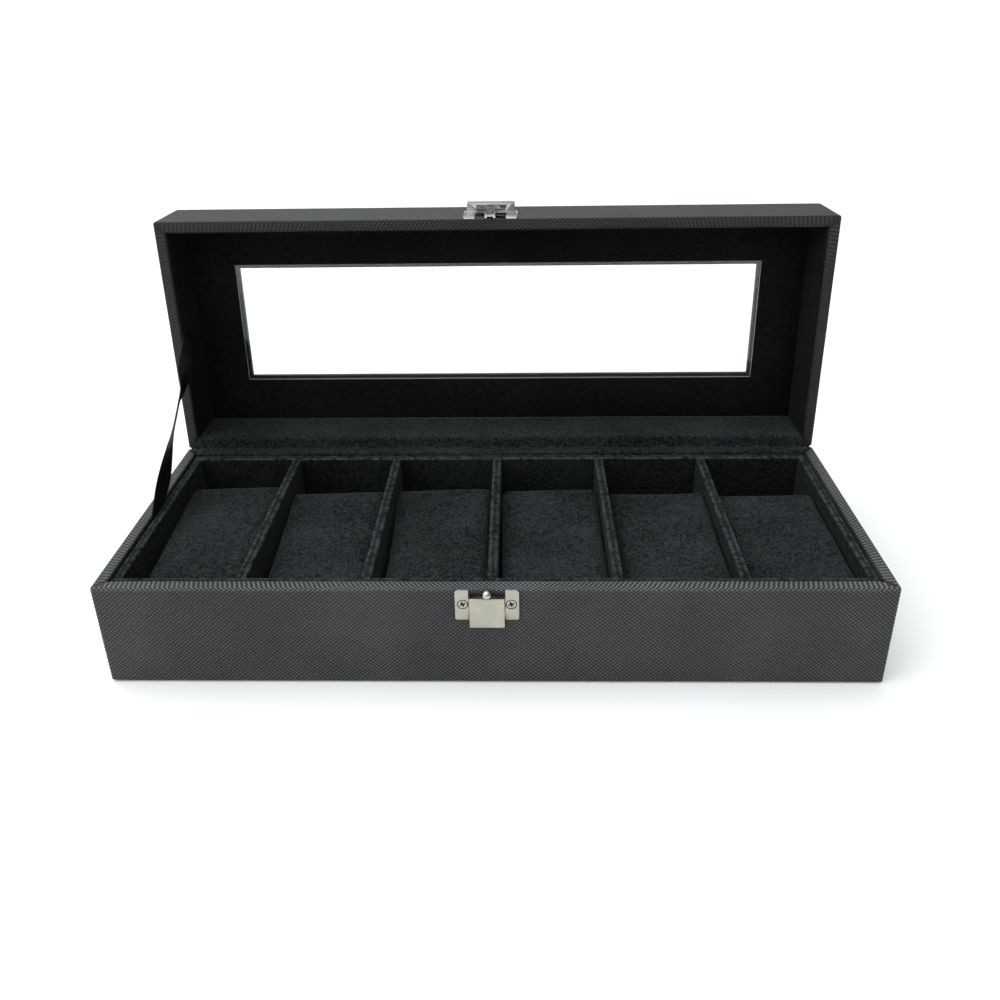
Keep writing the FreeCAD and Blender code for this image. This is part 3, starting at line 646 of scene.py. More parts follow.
# Raises every other point of a wrap's grid, which makes the staggered bumps. Each quad is
# split between its two low points, so every bump stands alone.
def embossed(name, points, faces, places, faceMaps, strength, edge, body, nodes, turn=None):
    points = np.array(points)
    normals = vertexNormals(points, faces)
    patch = np.array([0.75 + 0.5 * (noise.noise(Vector(point) * 45) + 0.5) for point in points])
    pressed = np.array(strength) * patch
    raised = [(u + v) % 2 == 0 for u, v in places]
    swell = np.array([abs(wobble(p, 32, 0.05 * mm, 4)) for p in points])
    points = points + normals * (pressed * raised * weave["height"] - swell)[:, None]
    if turn is not None:
        matrix = np.array(turn)
        points = points @ matrix[:3, :3].T + matrix[:3, 3]
    split, weaveAt = [], []
    for face, faceMap in zip(faces, faceMaps):
        held = faceMap or [places[k] for k in face]
        if len(face) == 3:
            orders = [(0, 1, 2)]
        elif raised[face[0]] or raised[face[2]]:
            orders = [(0, 1, 3), (1, 2, 3)]
        else:
            orders = [(0, 1, 2), (0, 2, 3)]
        for order in orders:
            split.append(tuple(face[m] for m in order))
            weaveAt += [held[m] for m in order]
    piece = newPiece(name, points, split, finishes["leatherette"], weaveAt)
    addAttribute(piece, "emboss", np.clip(pressed, 0, 1.2))
    # the edge attribute: above zero wear and painted highlight, below zero painted shade
    addAttribute(piece, "edge", edge)
    settle(piece, body, nodes)


# The creases where the turned-over rim meets at a corner
def onMitre(x, y, inset):
    if inset <= weave["cornerRound"]:
        return False
    return halfWidth - inset - abs(x) < 1 * mm and halfDepth - inset - abs(y) < 1 * mm


rimFold = {
    "skin": 0.5 * mm,
    "rim": 4.8 * mm,
    "round": 0.6 * mm,
    "innerRound": 0.5 * mm,
    "turnIn": 8 * mm,
    "turnInStep": 1.4 * mm,
    "wearAndHighlightBand": 1.2 * mm,
    # along the rear rim, where the hinge velvet lies over the wrap
    "rearDrop": 0.5 * mm,
    "rearPull": 0.4 * mm,
}


# One ring of a wrap as (point, plain). From its lip the wrap goes up, inwards 1, or down, inwards -1.
def wrapRing(ring, xs, ys, inset, z, lip, inwards):
    rim = rimFold["rim"]
    placed = []
    for x, y, height in ringPoints(ring, xs, ys, halfWidth, halfDepth, inset, z):
        plain = onMitre(x, y, inset)
        under = y > halfDepth - rim - 0.01 * mm and abs(x) < halfWidth - rim
        if under and abs(z - lip) < rimFold["turnIn"] + 0.1 * mm:
            height = lip + inwards * max(inwards * (z - lip), rimFold["rearDrop"])
            plain = plain or inset > 0.1 * mm
            y += rimFold["rearPull"] if inset > rim - 0.6 * mm else 0
        placed.append(((x, y, height), plain))
    return placed


# How much wear and painted highlight a row gets, by its distance from the middle of their band.
def wearAndHighlightAt(z, middle):
    return max(0, 1 - abs(z - middle) / rimFold["wearAndHighlightBand"])


baseWrap = {
    "footRound": 0.8 * mm,
    "hem": 12 * mm,
    "hemStep": 3.5 * mm,
}


def makeBaseWrap():
    low, top = wrapLow.z, wrapHigh.z
    xs = divided((-halfWidth, halfWidth), weave["pitch"])
    ys = divided((-halfDepth, halfDepth), weave["pitch"])
    ring = ringIndex(len(xs), len(ys))
    foot, hem, turnIn = baseWrap["footRound"], baseWrap["hem"], top - rimFold["turnIn"]
    rim, rimRound, inner, skin = (rimFold[key] for key in ("rim", "round", "innerRound", "skin"))
    step = weave["row"]
    # (inset, height) from the hem under the box, up the wall and over the rim
    profile = [(hem, low)]
    profile += straight(profile[-1], (foot, low), baseWrap["hemStep"])
    embossFrom = len(profile)
    profile += arc(foot, low + foot, foot, -90, -180, 3)[1:]
    profile += straight(profile[-1], (0, top - rimRound), step)
    profile += arc(rimRound, top - rimRound, rimRound, 180, 90, 2)[1:]
    profile += straight(profile[-1], (rim - inner, top), step)
    profile += arc(rim - inner, top - inner, inner, 90, 0, 2)[1:]
    profile += straight(profile[-1], (rim, turnIn), rimFold["turnInStep"])
    embossTo = len(profile)
    # back along the inside of the skin
    under = top - skin - rimFold["rearDrop"]
    profile += [(rim - skin, turnIn), (rim - skin, under), (skin, under)]
    profile += [(skin, low + skin), (hem, low + skin)]
    points, places, strength, edge, faces = [], [], [], [], []
    count = len(ring)
    for row, (inset, z) in enumerate(profile):
        shown = embossFrom <= row < embossTo
        # wear and a painted highlight on the bumps along the top of the rim
        wearAndPaintedLight = wearAndHighlightAt(z, top - 0.3 * mm) if shown and inset < rim - 0.4 * mm else 0
        for k, (point, plain) in enumerate(wrapRing(ring, xs, ys, inset, z, top, -1)):
            points.append(point)
            places.append((sum(ring[k]), row))
            strength.append(1 if shown and not plain else 0)
            edge.append(wearAndPaintedLight)
    for row in range(len(profile)):
        here, above = row * count, (row + 1) % len(profile) * count
        for k in range(count):
            after = (k + 1) % count
            faces.append((here + k, here + after, above + after, above + k))
    faceMaps = [None] * len(faces)
    embossed("baseWrap", points, faces, places, faceMaps, strength, edge, "base", ["base_wrap"])


makeBaseWrap()
print("base wrap done")

lidWrap = {
    "topWearAndHighlight": 0.7,
    "windowSide": 27.5 * mm,
    "windowBorder": 27.75 * mm,
    "windowRound": 0.5 * mm,
    "topBoard": 2 * mm,
}


def makeLidWrap():
    w = lidWrap
    low, high = lidSpan("lid_wrap")
    under, top = low.z, high.z
    rim, rimRound, inner, skin = (rimFold[key] for key in ("rim", "round", "innerRound", "skin"))
    soft, turnIn = w["windowRound"], under + rimFold["turnIn"]
    windowX, windowY = halfWidth - w["windowSide"], halfDepth - w["windowBorder"]
    ceiling = top - skin - w["topBoard"]
    flatX, flatY = halfWidth - rimRound, halfDepth - rimRound
    grid = weave["pitch"]
    xs = divided((-flatX, -windowX - soft, windowX + soft, flatX), grid)
    ys = divided((-flatY, -windowY - soft, windowY + soft, flatY), grid)
    ring = ringIndex(len(xs), len(ys))
    count = len(ring)
    holeX = [i for i, x in enumerate(xs) if abs(x) <= windowX + soft + 1e-7]
    holeY = [j for j, y in enumerate(ys) if abs(y) <= windowY + soft + 1e-7]
    points, places, strength, edge, faces, faceMaps = [], [], [], [], [], []

    def put(x, y, z, place, shown, wearAndPaintedLight=0.0):
        points.append((x, y - halfDepth, z))
        places.append(place)
        strength.append(shown)
        edge.append(wearAndPaintedLight)
        return len(points) - 1

    # the flat top, a grid with the window left out
    index = {}
    for i, x in enumerate(xs):
        for j, y in enumerate(ys):
            if holeX[0] < i < holeX[-1] and holeY[0] < j < holeY[-1]:
                continue
            px, py = roundCorner(x, y, flatX, flatY, weave["cornerRound"] - rimRound) if (
                i in (0, len(xs) - 1) or j in (0, len(ys) - 1)
            ) else (x, y)
            index[i, j] = put(px, py, top, (i + j, 0), 1)
    for i in range(len(xs) - 1):
        for j in range(len(ys) - 1):
            corners = [(i, j), (i + 1, j), (i + 1, j + 1), (i, j + 1)]
            if holeX[0] <= i < holeX[-1] and holeY[0] <= j < holeY[-1]:
                continue
            faces.append(tuple(index[c] for c in corners))
            faceMaps.append(corners)

    def addRing(inset, z, row, shown, wearAndPaintedLight=0.0):
        first = len(points)
        for k, (point, plain) in enumerate(wrapRing(ring, xs, ys, inset, z, under, 1)):
            put(*point, (sum(ring[k]), row), 1 if shown and not plain else 0, wearAndPaintedLight)
        return first

    def joinRings(upper, lower, size):
        for k in range(size):
            after = (k + 1) % size
            faces.append((upper[after], upper[k], lower[k], lower[after]))

    # over the top edge, down the wall, over the rim and in
    profile = arc(rimRound, top - rimRound, rimRound, 90, 180, 2)[1:]
    profile += straight(profile[-1], (0, under + rimRound), weave["row"])
    profile += arc(rimRound, under + rimRound, rimRound, 180, 270, 2)[1:]
    profile += straight(profile[-1], (rim - inner, under), weave["row"])
    profile += arc(rim - inner, under + inner, inner, 270, 360, 2)[1:]
    profile += straight(profile[-1], (rim, turnIn), rimFold["turnInStep"])
    shownRows = len(profile)
    over = under + skin + rimFold["rearDrop"]
    profile += [(rim - skin, turnIn), (rim - skin, over), (skin, over), (skin, top - skin)]
    above = [index[c] for c in ring]
    for row, (inset, z) in enumerate(profile, 1):
        # painted shade: the rows of the lid's rim are marked to be painted darker
        rimShadeMark = -1 if z < under + 0.3 * mm and inset > 0.1 * mm else 0
        shown = row <= shownRows
        # wear and a painted highlight along the lid's top edge
        wearAndPaintedLight = rimShadeMark or w["topWearAndHighlight"] * wearAndHighlightAt(z, top - 0.3 * mm)
        first = addRing(inset, z, row, shown, wearAndPaintedLight if shown else 0)
        loop = list(range(first, first + count))
        joinRings(above, loop, count)
        above = loop
    insideLoop = above

    # down the reveal of the window
    hole = [(holeX[i], holeY[j]) for i, j in ringIndex(len(holeX), len(holeY))]
    size = len(hole)
    reveal = [(-inset, z) for inset, z in arc(-soft, top - soft, soft, 90, 0, 2)[1:]]
    reveal += straight((0, top - soft), (0, ceiling), weave["row"])
    windowRings = [[index[c] for c in hole]]

    def addWindowRing(outset, z, row, shown):
        first = len(points)
        scaleX = (windowX + outset) / (windowX + soft)
        scaleY = (windowY + outset) / (windowY + soft)
        for i, j in hole:
            put(xs[i] * scaleX, ys[j] * scaleY, z, (i + j, row), shown)
        return list(range(first, first + size))

    for row, (outset, z) in enumerate(reveal, 1):
        windowRings.append(addWindowRing(outset, z, row, 1))
    windowRings.append(addWindowRing(skin, ceiling, 0, 0))
    windowRings.append(addWindowRing(skin, top - skin, 0, 0))
    for upper, lower in zip(windowRings, windowRings[1:]):
        joinRings(lower, upper, size)

    # the hidden inside of the flat top, between the wall's ring and the window's
    bm = bmesh.new()
    known = {}
    for loop in (insideLoop, windowRings[-1]):
        verts = [bm.verts.new(points[k]) for k in loop]
        known.update(zip(verts, loop))
        for k in range(len(verts)):
            bm.edges.new((verts[k], verts[(k + 1) % len(verts)]))
    filled = bmesh.ops.triangle_fill(bm, use_beauty=False, use_dissolve=False, edges=bm.edges)
    for face in [g for g in filled["geom"] if isinstance(g, bmesh.types.BMFace)]:
        order = [known[v] for v in face.verts]
        a, b, c = (np.array(points[k]) for k in order)
        faces.append(tuple(order if np.cross(b - a, c - a)[2] < 0 else order[::-1]))
    bm.free()
    faceMaps += [None] * (len(faces) - len(faceMaps))
    embossed("lidWrap", points, faces, places, faceMaps, strength, edge, "lid", ["lid_wrap"], lidTurn)


makeLidWrap()
print("lid wrap done")

# Repeats

repeatInputs = {
    "Geometry": "Geometry",
    "Piece": "Object",
    "Count": "Int",
    "Start": "Vector",
    "Step": "Vector",
    "Turn": "Vector",
    "Seed": "Int",
    "Finish": "Material",
}
repeatNodes = {
    "inputs": "NodeGroupInput",
    "line": "GeometryNodeMeshLine",
    "piece": "GeometryNodeObjectInfo",
    "copies": "GeometryNodeInstanceOnPoints",
    "negative": "ShaderNodeVectorMath",
    "chance": "FunctionNodeRandomValue",
    "realize": "GeometryNodeRealizeInstances",
    "paint": "GeometryNodeSetMaterial",
    "result": "NodeGroupOutput",
}
repeatLinks = [
    ("inputs", "Count", "line", "Count"),
    ("inputs", "Start", "line", "Start Location"),
    ("inputs", "Step", "line", "Offset"),
    ("inputs", "Piece", "piece", "Object"),
    ("inputs", "Turn", "negative", 0),
    ("negative", "Vector", "chance", "Min"),
    ("inputs", "Turn", "chance", "Max"),
    ("inputs", "Seed", "chance", "Seed"),
    ("line", "Mesh", "copies", "Points"),
    ("piece", "Geometry", "copies", "Instance"),
    ("chance", "Value", "copies", "Rotation"),
    ("copies", "Instances", "realize", "Geometry"),
    ("realize", "Geometry", "paint", "Geometry"),
    ("inputs", "Finish", "paint", "Material"),
    ("paint", "Geometry", "result", "Geometry"),
]


# Copies of one piece along a line, each turned a little at random.
def buildRepeatTree():
    tree = bpy.data.node_groups.new("repeatAlong", "GeometryNodeTree")
    sockets = {}
    for label, kind in repeatInputs.items():
        socket = tree.interface.new_socket(label, in_out="INPUT", socket_type="NodeSocket" + kind)
        sockets[label] = socket.identifier
    tree.interface.new_socket("Geometry", in_out="OUTPUT", socket_type="NodeSocketGeometry")
    nodes = {label: tree.nodes.new(kind) for label, kind in repeatNodes.items()}
    nodes["chance"].data_type = "FLOAT_VECTOR"
    nodes["negative"].operation = "SCALE"
    nodes["negative"].inputs["Scale"].default_value = -1
    for source, output, target, entry in repeatLinks:
        tree.links.new(nodes[source].outputs[output], nodes[target].inputs[entry])
    return tree, sockets


repeatTree, repeatSockets = buildRepeatTree()


# One plain mesh of all the copies; the source object is thrown away.
def repeatAlong(name, source, count, start, step, finish, turn, seed):
    holder = bpy.data.objects.new(name + "Holder", bpy.data.meshes.new(name + "Holder"))
    bpy.context.scene.collection.objects.link(holder)
    modifier = holder.modifiers.new("repeat", "NODES")
    modifier.node_group = repeatTree
    values = {"Piece": source, "Count": count, "Start": start, "Step": step}
    values.update({"Turn": turn, "Seed": seed, "Finish": finish})
    for label, value in values.items():
        modifier[repeatSockets[label]] = value
    piece = plainMesh(holder, name)
    bpy.data.objects.remove(source)
    return piece


# Velvet tray and dividers

tray = {
    "topRound": 0.8 * mm,
    "station": 2.2 * mm,
    "uneven": 0.16 * mm,
    "seed": 11,
    "dividerTurn": (0, 0, 0.0025),
}


# A velvet-covered board on edge: its top is rounded and a little uneven, as wrapped cloth is.
def boardMesh(low, high, along, seed):
    uneven = tray["uneven"]
    across = 1 - along
    half = (high[across] - low[across]) / 2
    middle = (high[across] + low[across]) / 2
    radius = min(tray["topRound"], half * 0.8)
    profile = [(-half, low.z)]
    profile += straight(profile[-1], (-half, high.z - radius), 6 * mm)
    profile += [(radius - half - radius * math.cos(t), high.z - radius + radius * math.sin(t))
                for t in np.linspace(0.3, math.pi / 2, 4)]
    profile += [(0, high.z)]
    profile += [(-x, z) for x, z in reversed(profile[:-1])]
    count = max(2, round((high[along] - low[along]) / tray["station"]))
    points, folds = [], []
    for k in range(count + 1):
        place = low[along] + (high[along] - low[along]) * k / count
        for offset, z in profile:
            # marks the fold lines along the top edges that get a painted highlight
            folds.append(1.0 if 0 < abs(offset) < half and z > high.z - radius * 0.9 else 0.0)
            spot = [0, 0, z]
            spot[along] = place
            spot[across] = middle + offset
            upper = max(0, min(1, (z - low.z) / (high.z - low.z)))
            pull = wobble(spot, 60, uneven, seed) + wobble(spot, 210, uneven * 0.5, seed + 3)
            spot[across] -= math.copysign(abs(pull), offset) * upper
            if offset == 0 or z > high.z - radius:
                spot[2] -= abs(wobble(spot, 90, uneven, seed + 7))
            points.append(spot)
    return points, sweepFaces(count + 1, len(profile), along == 1), folds


def makeTray():
    for number, (node, along) in enumerate(
        (("tray_front", 0), ("tray_rear", 0), ("tray_left", 1), ("tray_right", 1)), 1
    ):
        low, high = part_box(node)
        points, faces, folds = boardMesh(low, high, along, tray["seed"] + number)
        name = "tray" + node.split("_")[1].capitalize()
        piece = newPiece(name, points, faces, finishes["velvet"])
        addAttribute(piece, "fold", folds)
        settle(piece, "base", [node])
    low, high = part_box("divider_1")
    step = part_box("divider_2")[0].x - low.x
    centre = (low.x + high.x) / 2
    shift = Vector((centre, 0, 0))
    points, faces, folds = boardMesh(low - shift, high - shift, 1, tray["seed"])
    source = newPiece("dividerSource", points, faces, finishes["velvet"])
    addAttribute(source, "fold", folds)
    turn = tray["dividerTurn"]
    piece = repeatAlong("dividers", source, 5, shift, (step, 0, 0), finishes["velvet"], turn, 5)
    settle(piece, "base", [f"divider_{n}" for n in range(1, 6)])


makeTray()
print("tray and dividers done")

# Pillows

pillow = {
    "startInset": 0.7 * mm,
    "topInset": 0.7 * mm,
    "round": 1.3 * mm,
    "voxel": 1.8 * mm,
    "pressure": 4.0,
    "frames": 20,
    "cap": 0.5 * mm,  # the most that a cover swells
    "fill": (1.02, 1.05, 1.035),  # size against its place, before it is pressed to fit
    "crown": 0.3 * mm,
    "wrinkle": 0.16 * mm,
    # for each pillow: how far the front and the left of its top sink, and how far its left
    # side stands off the divider at the front
    "frontSag": [1.3, 1.6, 1.2, 1.0, 0.9, 1.4],
    "leftSag": [1.6, 1.5, 1.4, 1.0, 0.7, 0.5],
    "leftGap": [3.4, 3.6, 3.0, 1.6, 2.2, 1.0],
}


def pillowStart(number):
    low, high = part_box(f"pillow_{number}")
    inset, topInset = pillow["startInset"], pillow["topInset"]
    bm = bmesh.new()
    bmesh.ops.create_cube(bm, size=1)
    middle = (low + high) / 2
    extent = high - low - Vector((2 * inset, 2 * inset, topInset))
    for v in bm.verts:
        v.co = Vector(v.co[i] * extent[i] + middle[i] for i in range(3)) - Vector((0, 0, topInset / 2))
    bmesh.ops.bevel(
        bm, geom=bm.edges[:], offset=pillow["round"], segments=4, profile=0.5, affect="EDGES",
        clamp_overlap=True,
    )
    mesh = bpy.data.meshes.new(f"pillowRaw{number}")
    bm.to_mesh(mesh)
    bm.free()
    piece = bpy.data.objects.new(f"pillowRaw{number}", mesh)
    bpy.context.scene.collection.objects.link(piece)
    remesh = piece.modifiers.new("voxels", "REMESH")
    remesh.mode = "VOXEL"
    remesh.voxel_size = pillow["voxel"]
    return plainMesh(piece, f"pillowCloth{number}")


# Lets the covers swell over their foam, all in one run.
def inflate(pieces):
    for piece in pieces:
        cloth = piece.modifiers.new("cloth", "CLOTH")
        cloth.settings.quality = 6
        cloth.settings.mass = 0.2
        cloth.settings.tension_stiffness = 18
        cloth.settings.compression_stiffness = 18
        cloth.settings.shear_stiffness = 8
        cloth.settings.bending_stiffness = 0.6
        cloth.settings.use_pressure = True
        cloth.settings.uniform_pressure_force = pillow["pressure"]
        cloth.settings.effector_weights.gravity = 0
    for step in range(1, pillow["frames"] + 1):
        bpy.context.scene.frame_set(step)
    swollen = [plainMesh(piece, piece.name + "Swollen") for piece in pieces]
    bpy.context.scene.frame_set(1)
    return swollen


def finishPillow(number, piece, begun):
    low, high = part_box(f"pillow_{number}")
    middle = (low + high) / 2
    half = (high - low) / 2
    seed = 20 + number
    for vert, before in zip(piece.data.vertices, begun):
        move = vert.co - before
        if move.length > pillow["cap"]:
            vert.co = before + move.normalized() * pillow["cap"]
    subdivide = piece.modifiers.new("smooth", "SUBSURF")
    subdivide.levels = subdivide.render_levels = 1
    piece = plainMesh(piece, f"pillow{number}")
    corners = [Vector(corner) for corner in piece.bound_box]
    reached = [(min(c[i] for c in corners), max(c[i] for c in corners)) for i in range(3)]
    for vert in piece.data.vertices:
        co = vert.co
        for i, (start, end) in enumerate(reached):
            share = (co[i] - start) / (end - start) - 0.5
            co[i] = middle[i] + share * pillow["fill"][i] * (high[i] - low[i])
        u, v = (co.x - middle.x) / half.x, (co.y - middle.y) / half.y
        upper = max(0, min(1, (co.z - low.z) / (high.z - low.z)))
        sag = pillow["frontSag"][number - 1] * max(0, (1 - v) / 2) ** 2 * mm
        sag += pillow["leftSag"][number - 1] * (1 - u) / 2 * mm
        crown = pillow["crown"] * (1 - u * u) * (1 - v * v)
        folds = noise.ridged_multi_fractal(
            Vector((co.x * 55 + seed * 5, co.y * 38, co.z * 45)), 0.9, 2.2, 3, 1.0, 1.6
        )
        co.z += (crown - sag - pillow["wrinkle"] * max(0, folds - 1.1)) * upper ** 2
        co.z += wobble(co, 60, 0.2 * mm, seed) * upper ** 2
        co.x += wobble(co, 85, 0.2 * mm, seed + 1)
        co.x += pillow["leftGap"][number - 1] * (1 - u) / 2 * (1 - v) / 2 * mm
        for i in range(3):
            co[i] = min(max(co[i], low[i]), high[i])
    piece.data.materials.clear()
    piece.data.materials.append(finishes["pillow"])
    piece.data.shade_smooth()
    settle(piece, f"pillow_{number}", [f"pillow_{number}"])


def makePillows():
    pieces = [pillowStart(number) for number in range(1, 7)]
    starts = [[v.co.copy() for v in piece.data.vertices] for piece in pieces]
    pieces = inflate(pieces)
    for number, (piece, start) in enumerate(zip(pieces, starts), 1):
        finishPillow(number, piece, start)


makePillows()
print("pillows done")

# Lining of the lid

liningEdge = 0.22 * mm
for node, name in (
    ("lid_lining_panel", "liningPanel"),
    ("lid_front_lining", "liningFront"),
    ("lid_left_lining", "liningLeft"),
    ("lid_right_lining", "liningRight"),
):
    piece = softened(node, name, liningEdge)
    piece.data.materials.clear()
    piece.data.materials.append(finishes["lining"])
    settle(piece, "lid", [node])

# Cloth hinge

hingeCloth = {
    "velvet": 0.45 * mm,
    "spine": 0.5 * mm,
    "station": 3 * mm,
    "uneven": 0.12 * mm,
    "velvetRounds": (0.9 * mm, 0.35 * mm, 0.9 * mm),
    "spineRound": 1.2 * mm,
}


# A point of the shut lid's section, in the open lid's place.
def lidPoint(y, z):
    spot = lidTurn @ Vector((0, y, z))
    return spot.y, spot.z


# Rounds one corner of a section.
def cornerArc(before, corner, after, radius, steps=3):
    corner = Vector(corner)
    toBefore = (Vector(before) - corner).normalized()
    toAfter = (Vector(after) - corner).normalized()
    start, end = corner + toBefore * radius, corner + toAfter * radius
    shares = np.linspace(0, 1, steps + 1)
    return [tuple((1 - t) ** 2 * start + 2 * t * (1 - t) * corner + t * t * end) for t in shares]


def roundedPath(corners, radii):
    path = [corners[0]]
    for before, corner, after, radius in zip(corners, corners[1:], corners[2:], radii):
        path += cornerArc(before, corner, after, radius)
    return path + [corners[-1]]


def densePath(path, step):
    dense = [path[0]]
    for start, end in zip(path, path[1:]):
        dense += straight(start, end, step)
    return dense


# A strip of cloth swept along X; its back lies to one side of the path, and it bends between base and lid.
def clothStrip(name, path, thick, side, fromX, toX, material, nodes, seed):
    path = [Vector((0, y, z)) for y, z in path]
    normals = []
    for k in range(len(path)):
        run = (path[min(k + 1, len(path) - 1)] - path[max(k - 1, 0)]).normalized()
        normals.append(Vector((0, -run.z, run.y)) * side)
    loop = path + [p + n * thick for p, n in reversed(list(zip(path, normals)))]
    width = len(loop)
    count = round((toX - fromX) / hingeCloth["station"])
    points, places = [], []
    travelled = np.cumsum([0] + [(b - a).length for a, b in zip(loop, loop[1:])])
    for k in range(count + 1):
        x = fromX + (toX - fromX) * k / count
        for m, spot in enumerate(loop):
            here = Vector((x, spot.y, spot.z))
            places.append((x / weave["pitch"], travelled[m] / weave["row"]))
            back = normals[m] if m < len(path) else normals[width - 1 - m]
            points.append(here + back * abs(wobble(here, 70, hingeCloth["uneven"], seed)))
    faces = sweepFaces(count + 1, width, side > 0)
    weaveAt = [places[k] for face in faces for k in face]
    piece = newPiece(name, points, faces, material, weaveAt)
    bend(piece, nodes)
    return piece


def makeHingeCloth():
    low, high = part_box("hinge_velvet_base")
    lidLow, lidHigh = lidSpan("hinge_velvet_lid")
    inner = low.y
    rimTop = high.z
    fold = (hingePoint.y + 0.2 * mm, hingePoint.z + 0.05 * mm)
    corners = [
        (inner, low.z),
        (inner, rimTop),
        fold,
        lidPoint(lidLow.y, lidLow.z),
        lidPoint(lidLow.y, lidHigh.z - 0.2 * mm),
    ]
    path = densePath(roundedPath(corners, hingeCloth["velvetRounds"]), 1.6 * mm)
    clothStrip(
        "hingeVelvet", path, hingeCloth["velvet"], -1, low.x + 0.1 * mm, high.x - 0.1 * mm, finishes["hinge"],
        ["hinge_velvet_base", "hinge_velvet_lid"], 31,
    )
    low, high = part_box("hinge_spine_base")
    lidLow, lidHigh = lidSpan("hinge_spine_lid")
    outside = high.y
    corners = [(outside, low.z), (outside, hingePoint.z - 0.6 * mm), lidPoint(lidHigh.y, lidHigh.z)]
    path = densePath(roundedPath(corners, [hingeCloth["spineRound"]]), 1.5 * mm)
    piece = clothStrip(
        "hingeSpine", path, hingeCloth["spine"], 1, low.x, high.x, finishes["leatherette"],
        ["hinge_spine_base", "hinge_spine_lid"], 41,
    )
    addAttribute(piece, "emboss", [0.9] * len(piece.data.vertices))
    addAttribute(piece, "edge", [0.0] * len(piece.data.vertices))


makeHingeCloth()
print("lining and hinge done")

# Ribbon stay

ribbon = {
    "width": 15 * mm,
    "thick": 0.22 * mm,
    "edge": 0.34 * mm,
    "reach": 55 * mm,
    "depth": 9.3 * mm,
    "tuck": 7 * mm,
    "rise": 0.5 * mm,
    "twist": 22,
    "twistIn": (0.12, 0.5),
    "twistOut": (0.62, 0.78),
    "shift": (0.12, 0.72),
    "bend": (0.04, 0.86),  # the part that bends as the lid turns
    "cup": 0.5 * mm,
    "selvedge": 0.93,
    "stations": 54,
}


def eased(value, start, end):
    share = min(max((value - start) / (end - start), 0), 1)
    return share * share * (3 - 2 * share)


def makeRibbon():
    r = ribbon
    trayLow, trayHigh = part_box("tray_left")
    footX = (trayLow.x - halfWidth + rimFold["rim"]) / 2
    headX = lidSpan("lid_left_lining")[1].x + 0.2 * mm
    foot = Vector((footX, hingePoint.y - r["reach"], trayHigh.z))
    headY, headZ = lidPoint(-r["reach"], r["depth"])
    head = Vector((headX, headY, headZ))
    run = head - foot
    slope = math.atan2(run.z, run.y)
    sections = [(foot + Vector((0, 0, rise)), math.pi / 2, 0) for rise in (-r["tuck"], 0, r["rise"])]
    for k in range(1, r["stations"] + 1):
        share = k / r["stations"]
        turned = eased(share, *r["twistIn"]) - eased(share, *r["twistOut"])
        lean = slope + (math.pi / 2 - slope) * (1 - share) ** 4
        middle = foot + run * share
        middle.x = footX + (headX - footX) * eased(share, *r["shift"])
        sections.append((middle, lean, math.radians(r["twist"]) * turned))
    shares = [-1, -r["selvedge"], -0.5, 0, 0.5, r["selvedge"], 1]
    loop = [(s, 1) for s in shares] + [(s, -1) for s in reversed(shares)]
    points, weaveMap = [], []
    travelled = 0.0
    for k, (middle, lean, twist) in enumerate(sections):
        if k:
            travelled += (middle - sections[k - 1][0]).length
        along = Vector((0, math.cos(lean), math.sin(lean)))
        across = Matrix.Rotation(twist, 3, along) @ Vector((0, -math.sin(lean), math.cos(lean)))
        normal = along.cross(across)
        free = 4 < k < len(sections) - 16
        cup = r["cup"] * math.sin(math.pi * min(1, k / len(sections))) if free else 0
        for share, side in loop:
            thick = r["edge"] if abs(share) > 0.9 else r["thick"]
            bow = normal * cup * (share * share - 0.5)
            points.append(middle + across * share * r["width"] / 2 + normal * side * thick / 2 + bow)
            weaveMap.append((share * r["width"] / 2, travelled))
    faces = sweepFaces(len(sections), len(loop), False)
    weaveAt = [weaveMap[k] for face in faces for k in face]
    piece = newPiece("ribbonStay", points, faces, finishes["ribbon"], weaveAt)
    bend(piece, ["ribbon_stay"])


makeRibbon()
print("ribbon done")

# Window glass

glass = {"chamfer": 0.22 * mm}


def makeWindowGlass():
    low, high = lidSpan("window_glass")
    bm = bmesh.new()
    bmesh.ops.create_cube(bm, size=1)
    for v in bm.verts:
        v.co = Vector((low[i] + high[i]) / 2 + v.co[i] * (high[i] - low[i]) for i in range(3))
    bmesh.ops.bevel(bm, geom=bm.edges[:], offset=glass["chamfer"], segments=1, profile=0.5, affect="EDGES")
    bm.normal_update()
    for face in bm.faces:
        face.material_index = 0 if abs(face.normal.z) > 0.9 else 1
    mesh = bpy.data.meshes.new("windowPane")
    bm.to_mesh(mesh)
    bm.free()
    mesh.transform(lidTurn)
    mesh.materials.append(finishes["glass"])
    mesh.materials.append(finishes["glassEdge"])
    piece = bpy.data.objects.new("windowPane", mesh)
    bpy.context.scene.collection.objects.link(piece)
    settle(piece, "lid", ["window_glass"])


makeWindowGlass()

# Latch and hasp

# name, body and width of the eased edge, in millimetres
metalEdges = {
    "latch_plate": ("latchPlate", "base", 0.14),
    "latch_button": ("latchButton", "button", 0.22),
    "latch_pin": ("latchPin", "base", 0.05),
    "hasp_plate": ("haspPlate", "lid", 0.12),
    "hasp_clip": ("haspClip", "lid", 0.06),
    "hasp_rivet": ("haspRivet", "lid", 0.1),
    "catch_ball": ("catchBall", "button", 0.04),
}
for node, (name, body, edgeWidth) in metalEdges.items():
    settle(softened(node, name, edgeWidth * mm), body, [node])

leafSpring = {"edge": 0.03 * mm, "bendBelowPivot": 1 * mm}


# The leaf spring with its edges eased, baked in place on no body; on the real latch its foot stays on the bridge
# while its tip goes in with the button.
def makeLeafSpring():
    piece = softened("latch_spring", "latchSpring", leafSpring["edge"])
    bend(piece, ["latch_spring"])


makeLeafSpring()

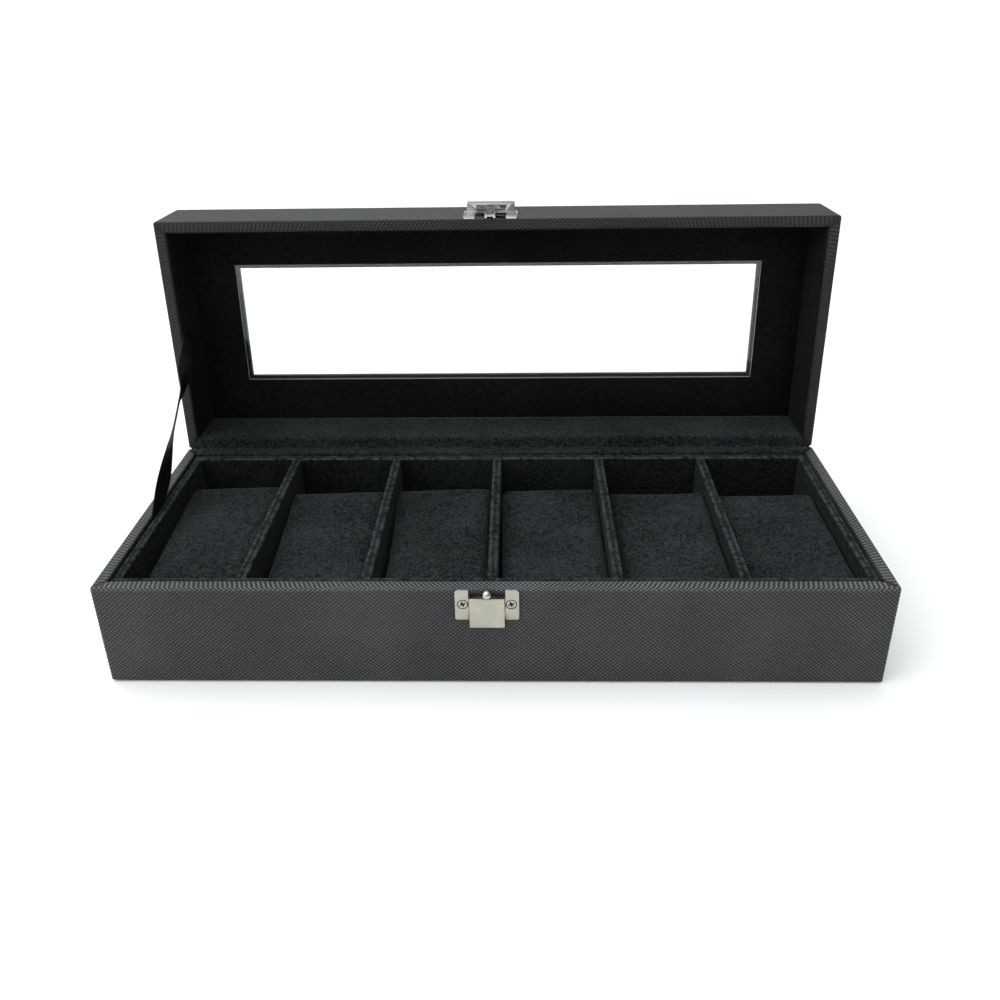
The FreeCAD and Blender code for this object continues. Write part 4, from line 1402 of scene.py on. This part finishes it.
screws = {
    "head": 1.78 * mm,
    "dome": 0.14 * mm,
    "cross": 1.15 * mm,
    "arm": 0.3 * mm,
    "crossDepth": 0.4 * mm,
    "turn": 0.9,
    "soft": 0.14 * mm,
    "segments": 56,
    "rings": 15,
    "sharp": 50,
    # radius, depth and painted shade of the groove round the head, its underside and the shank
    "profile": (
        (1.83, 0.05, 1), (1.85, 0.16, 1), (2.11, -0.012, 1), (2.12, 0.03, 1), (0.9, 0.75, 0), (0.9, 4.4, 0),
    ),
}


# One domed countersunk screw with a stamped cross, its head facing -Y
def screwSource(name):
    segments, rings = screws["segments"], screws["rings"]
    rows = []
    for k in range(1, rings + 1):
        radius = screws["head"] * k / rings
        rows.append((radius, -screws["dome"] * (1 - (k / rings) ** 2), 0))
    rows += [(radius * mm, depth * mm, grooveShade) for radius, depth, grooveShade in screws["profile"]]
    points, grime, faces = [(0, screws["crossDepth"], 0)], [1.0], []
    for radius, depth, grooveShade in rows:
        for k in range(segments):
            x, z = (radius * turn(2 * math.pi * k / segments) for turn in (math.cos, math.sin))
            arms = (max(abs(x) - screws["cross"], abs(z) - screws["arm"]),
                    max(abs(z) - screws["cross"], abs(x) - screws["arm"]))
            onHead = radius <= screws["head"]
            stamped = min(max(0.5 - min(arms) / screws["soft"], 0), 1) if onHead else 0
            points.append((x, depth + stamped * screws["crossDepth"], z))
            # painted shade in the groove round the head and in the stamped cross
            grime.append(max(grooveShade, stamped))
    faces += [(0, 1 + k, 1 + (k + 1) % segments) for k in range(segments)]
    for row in range(len(rows) - 1):
        for k in range(segments):
            here, after = 1 + row * segments + k, 1 + row * segments + (k + 1) % segments
            faces.append((here, here + segments, after + segments, after))
    faces.append(tuple(range(len(points) - segments, len(points)))[::-1])
    source = newPiece(name, points, faces, finishes["nickel"])
    addAttribute(source, "grime", grime)
    return source


# Two screws where the frame has them, their crosses turned as they were driven
def makeScrews(node, name, body, toPlace, seed):
    inverse = toPlace.inverted()
    points = np.array([inverse @ v.co for v in frame["nodes"][node].data.vertices])
    low, high = points.min(0), points.max(0)
    radius = (high[2] - low[2]) / 2
    first = (low[0] + radius, low[1], low[2] + radius)
    step = (high[0] - low[0] - 2 * radius, 0, 0)
    source = screwSource(name + "Source")
    turn = (0, screws["turn"], 0)
    piece = repeatAlong(name, source, 2, first, step, finishes[slotOf[node]], turn, seed)
    piece.data.transform(toPlace)
    piece.data.set_sharp_from_angle(angle=math.radians(screws["sharp"]))
    settle(piece, body, [node])


makeScrews("latch_screws", "latchScrews", "base", Matrix.Identity(4), 3)
makeScrews("hasp_screws", "haspScrews", "lid", lidTurn, 8)
print("glass and metal done")

bpy.context.view_layer.update()
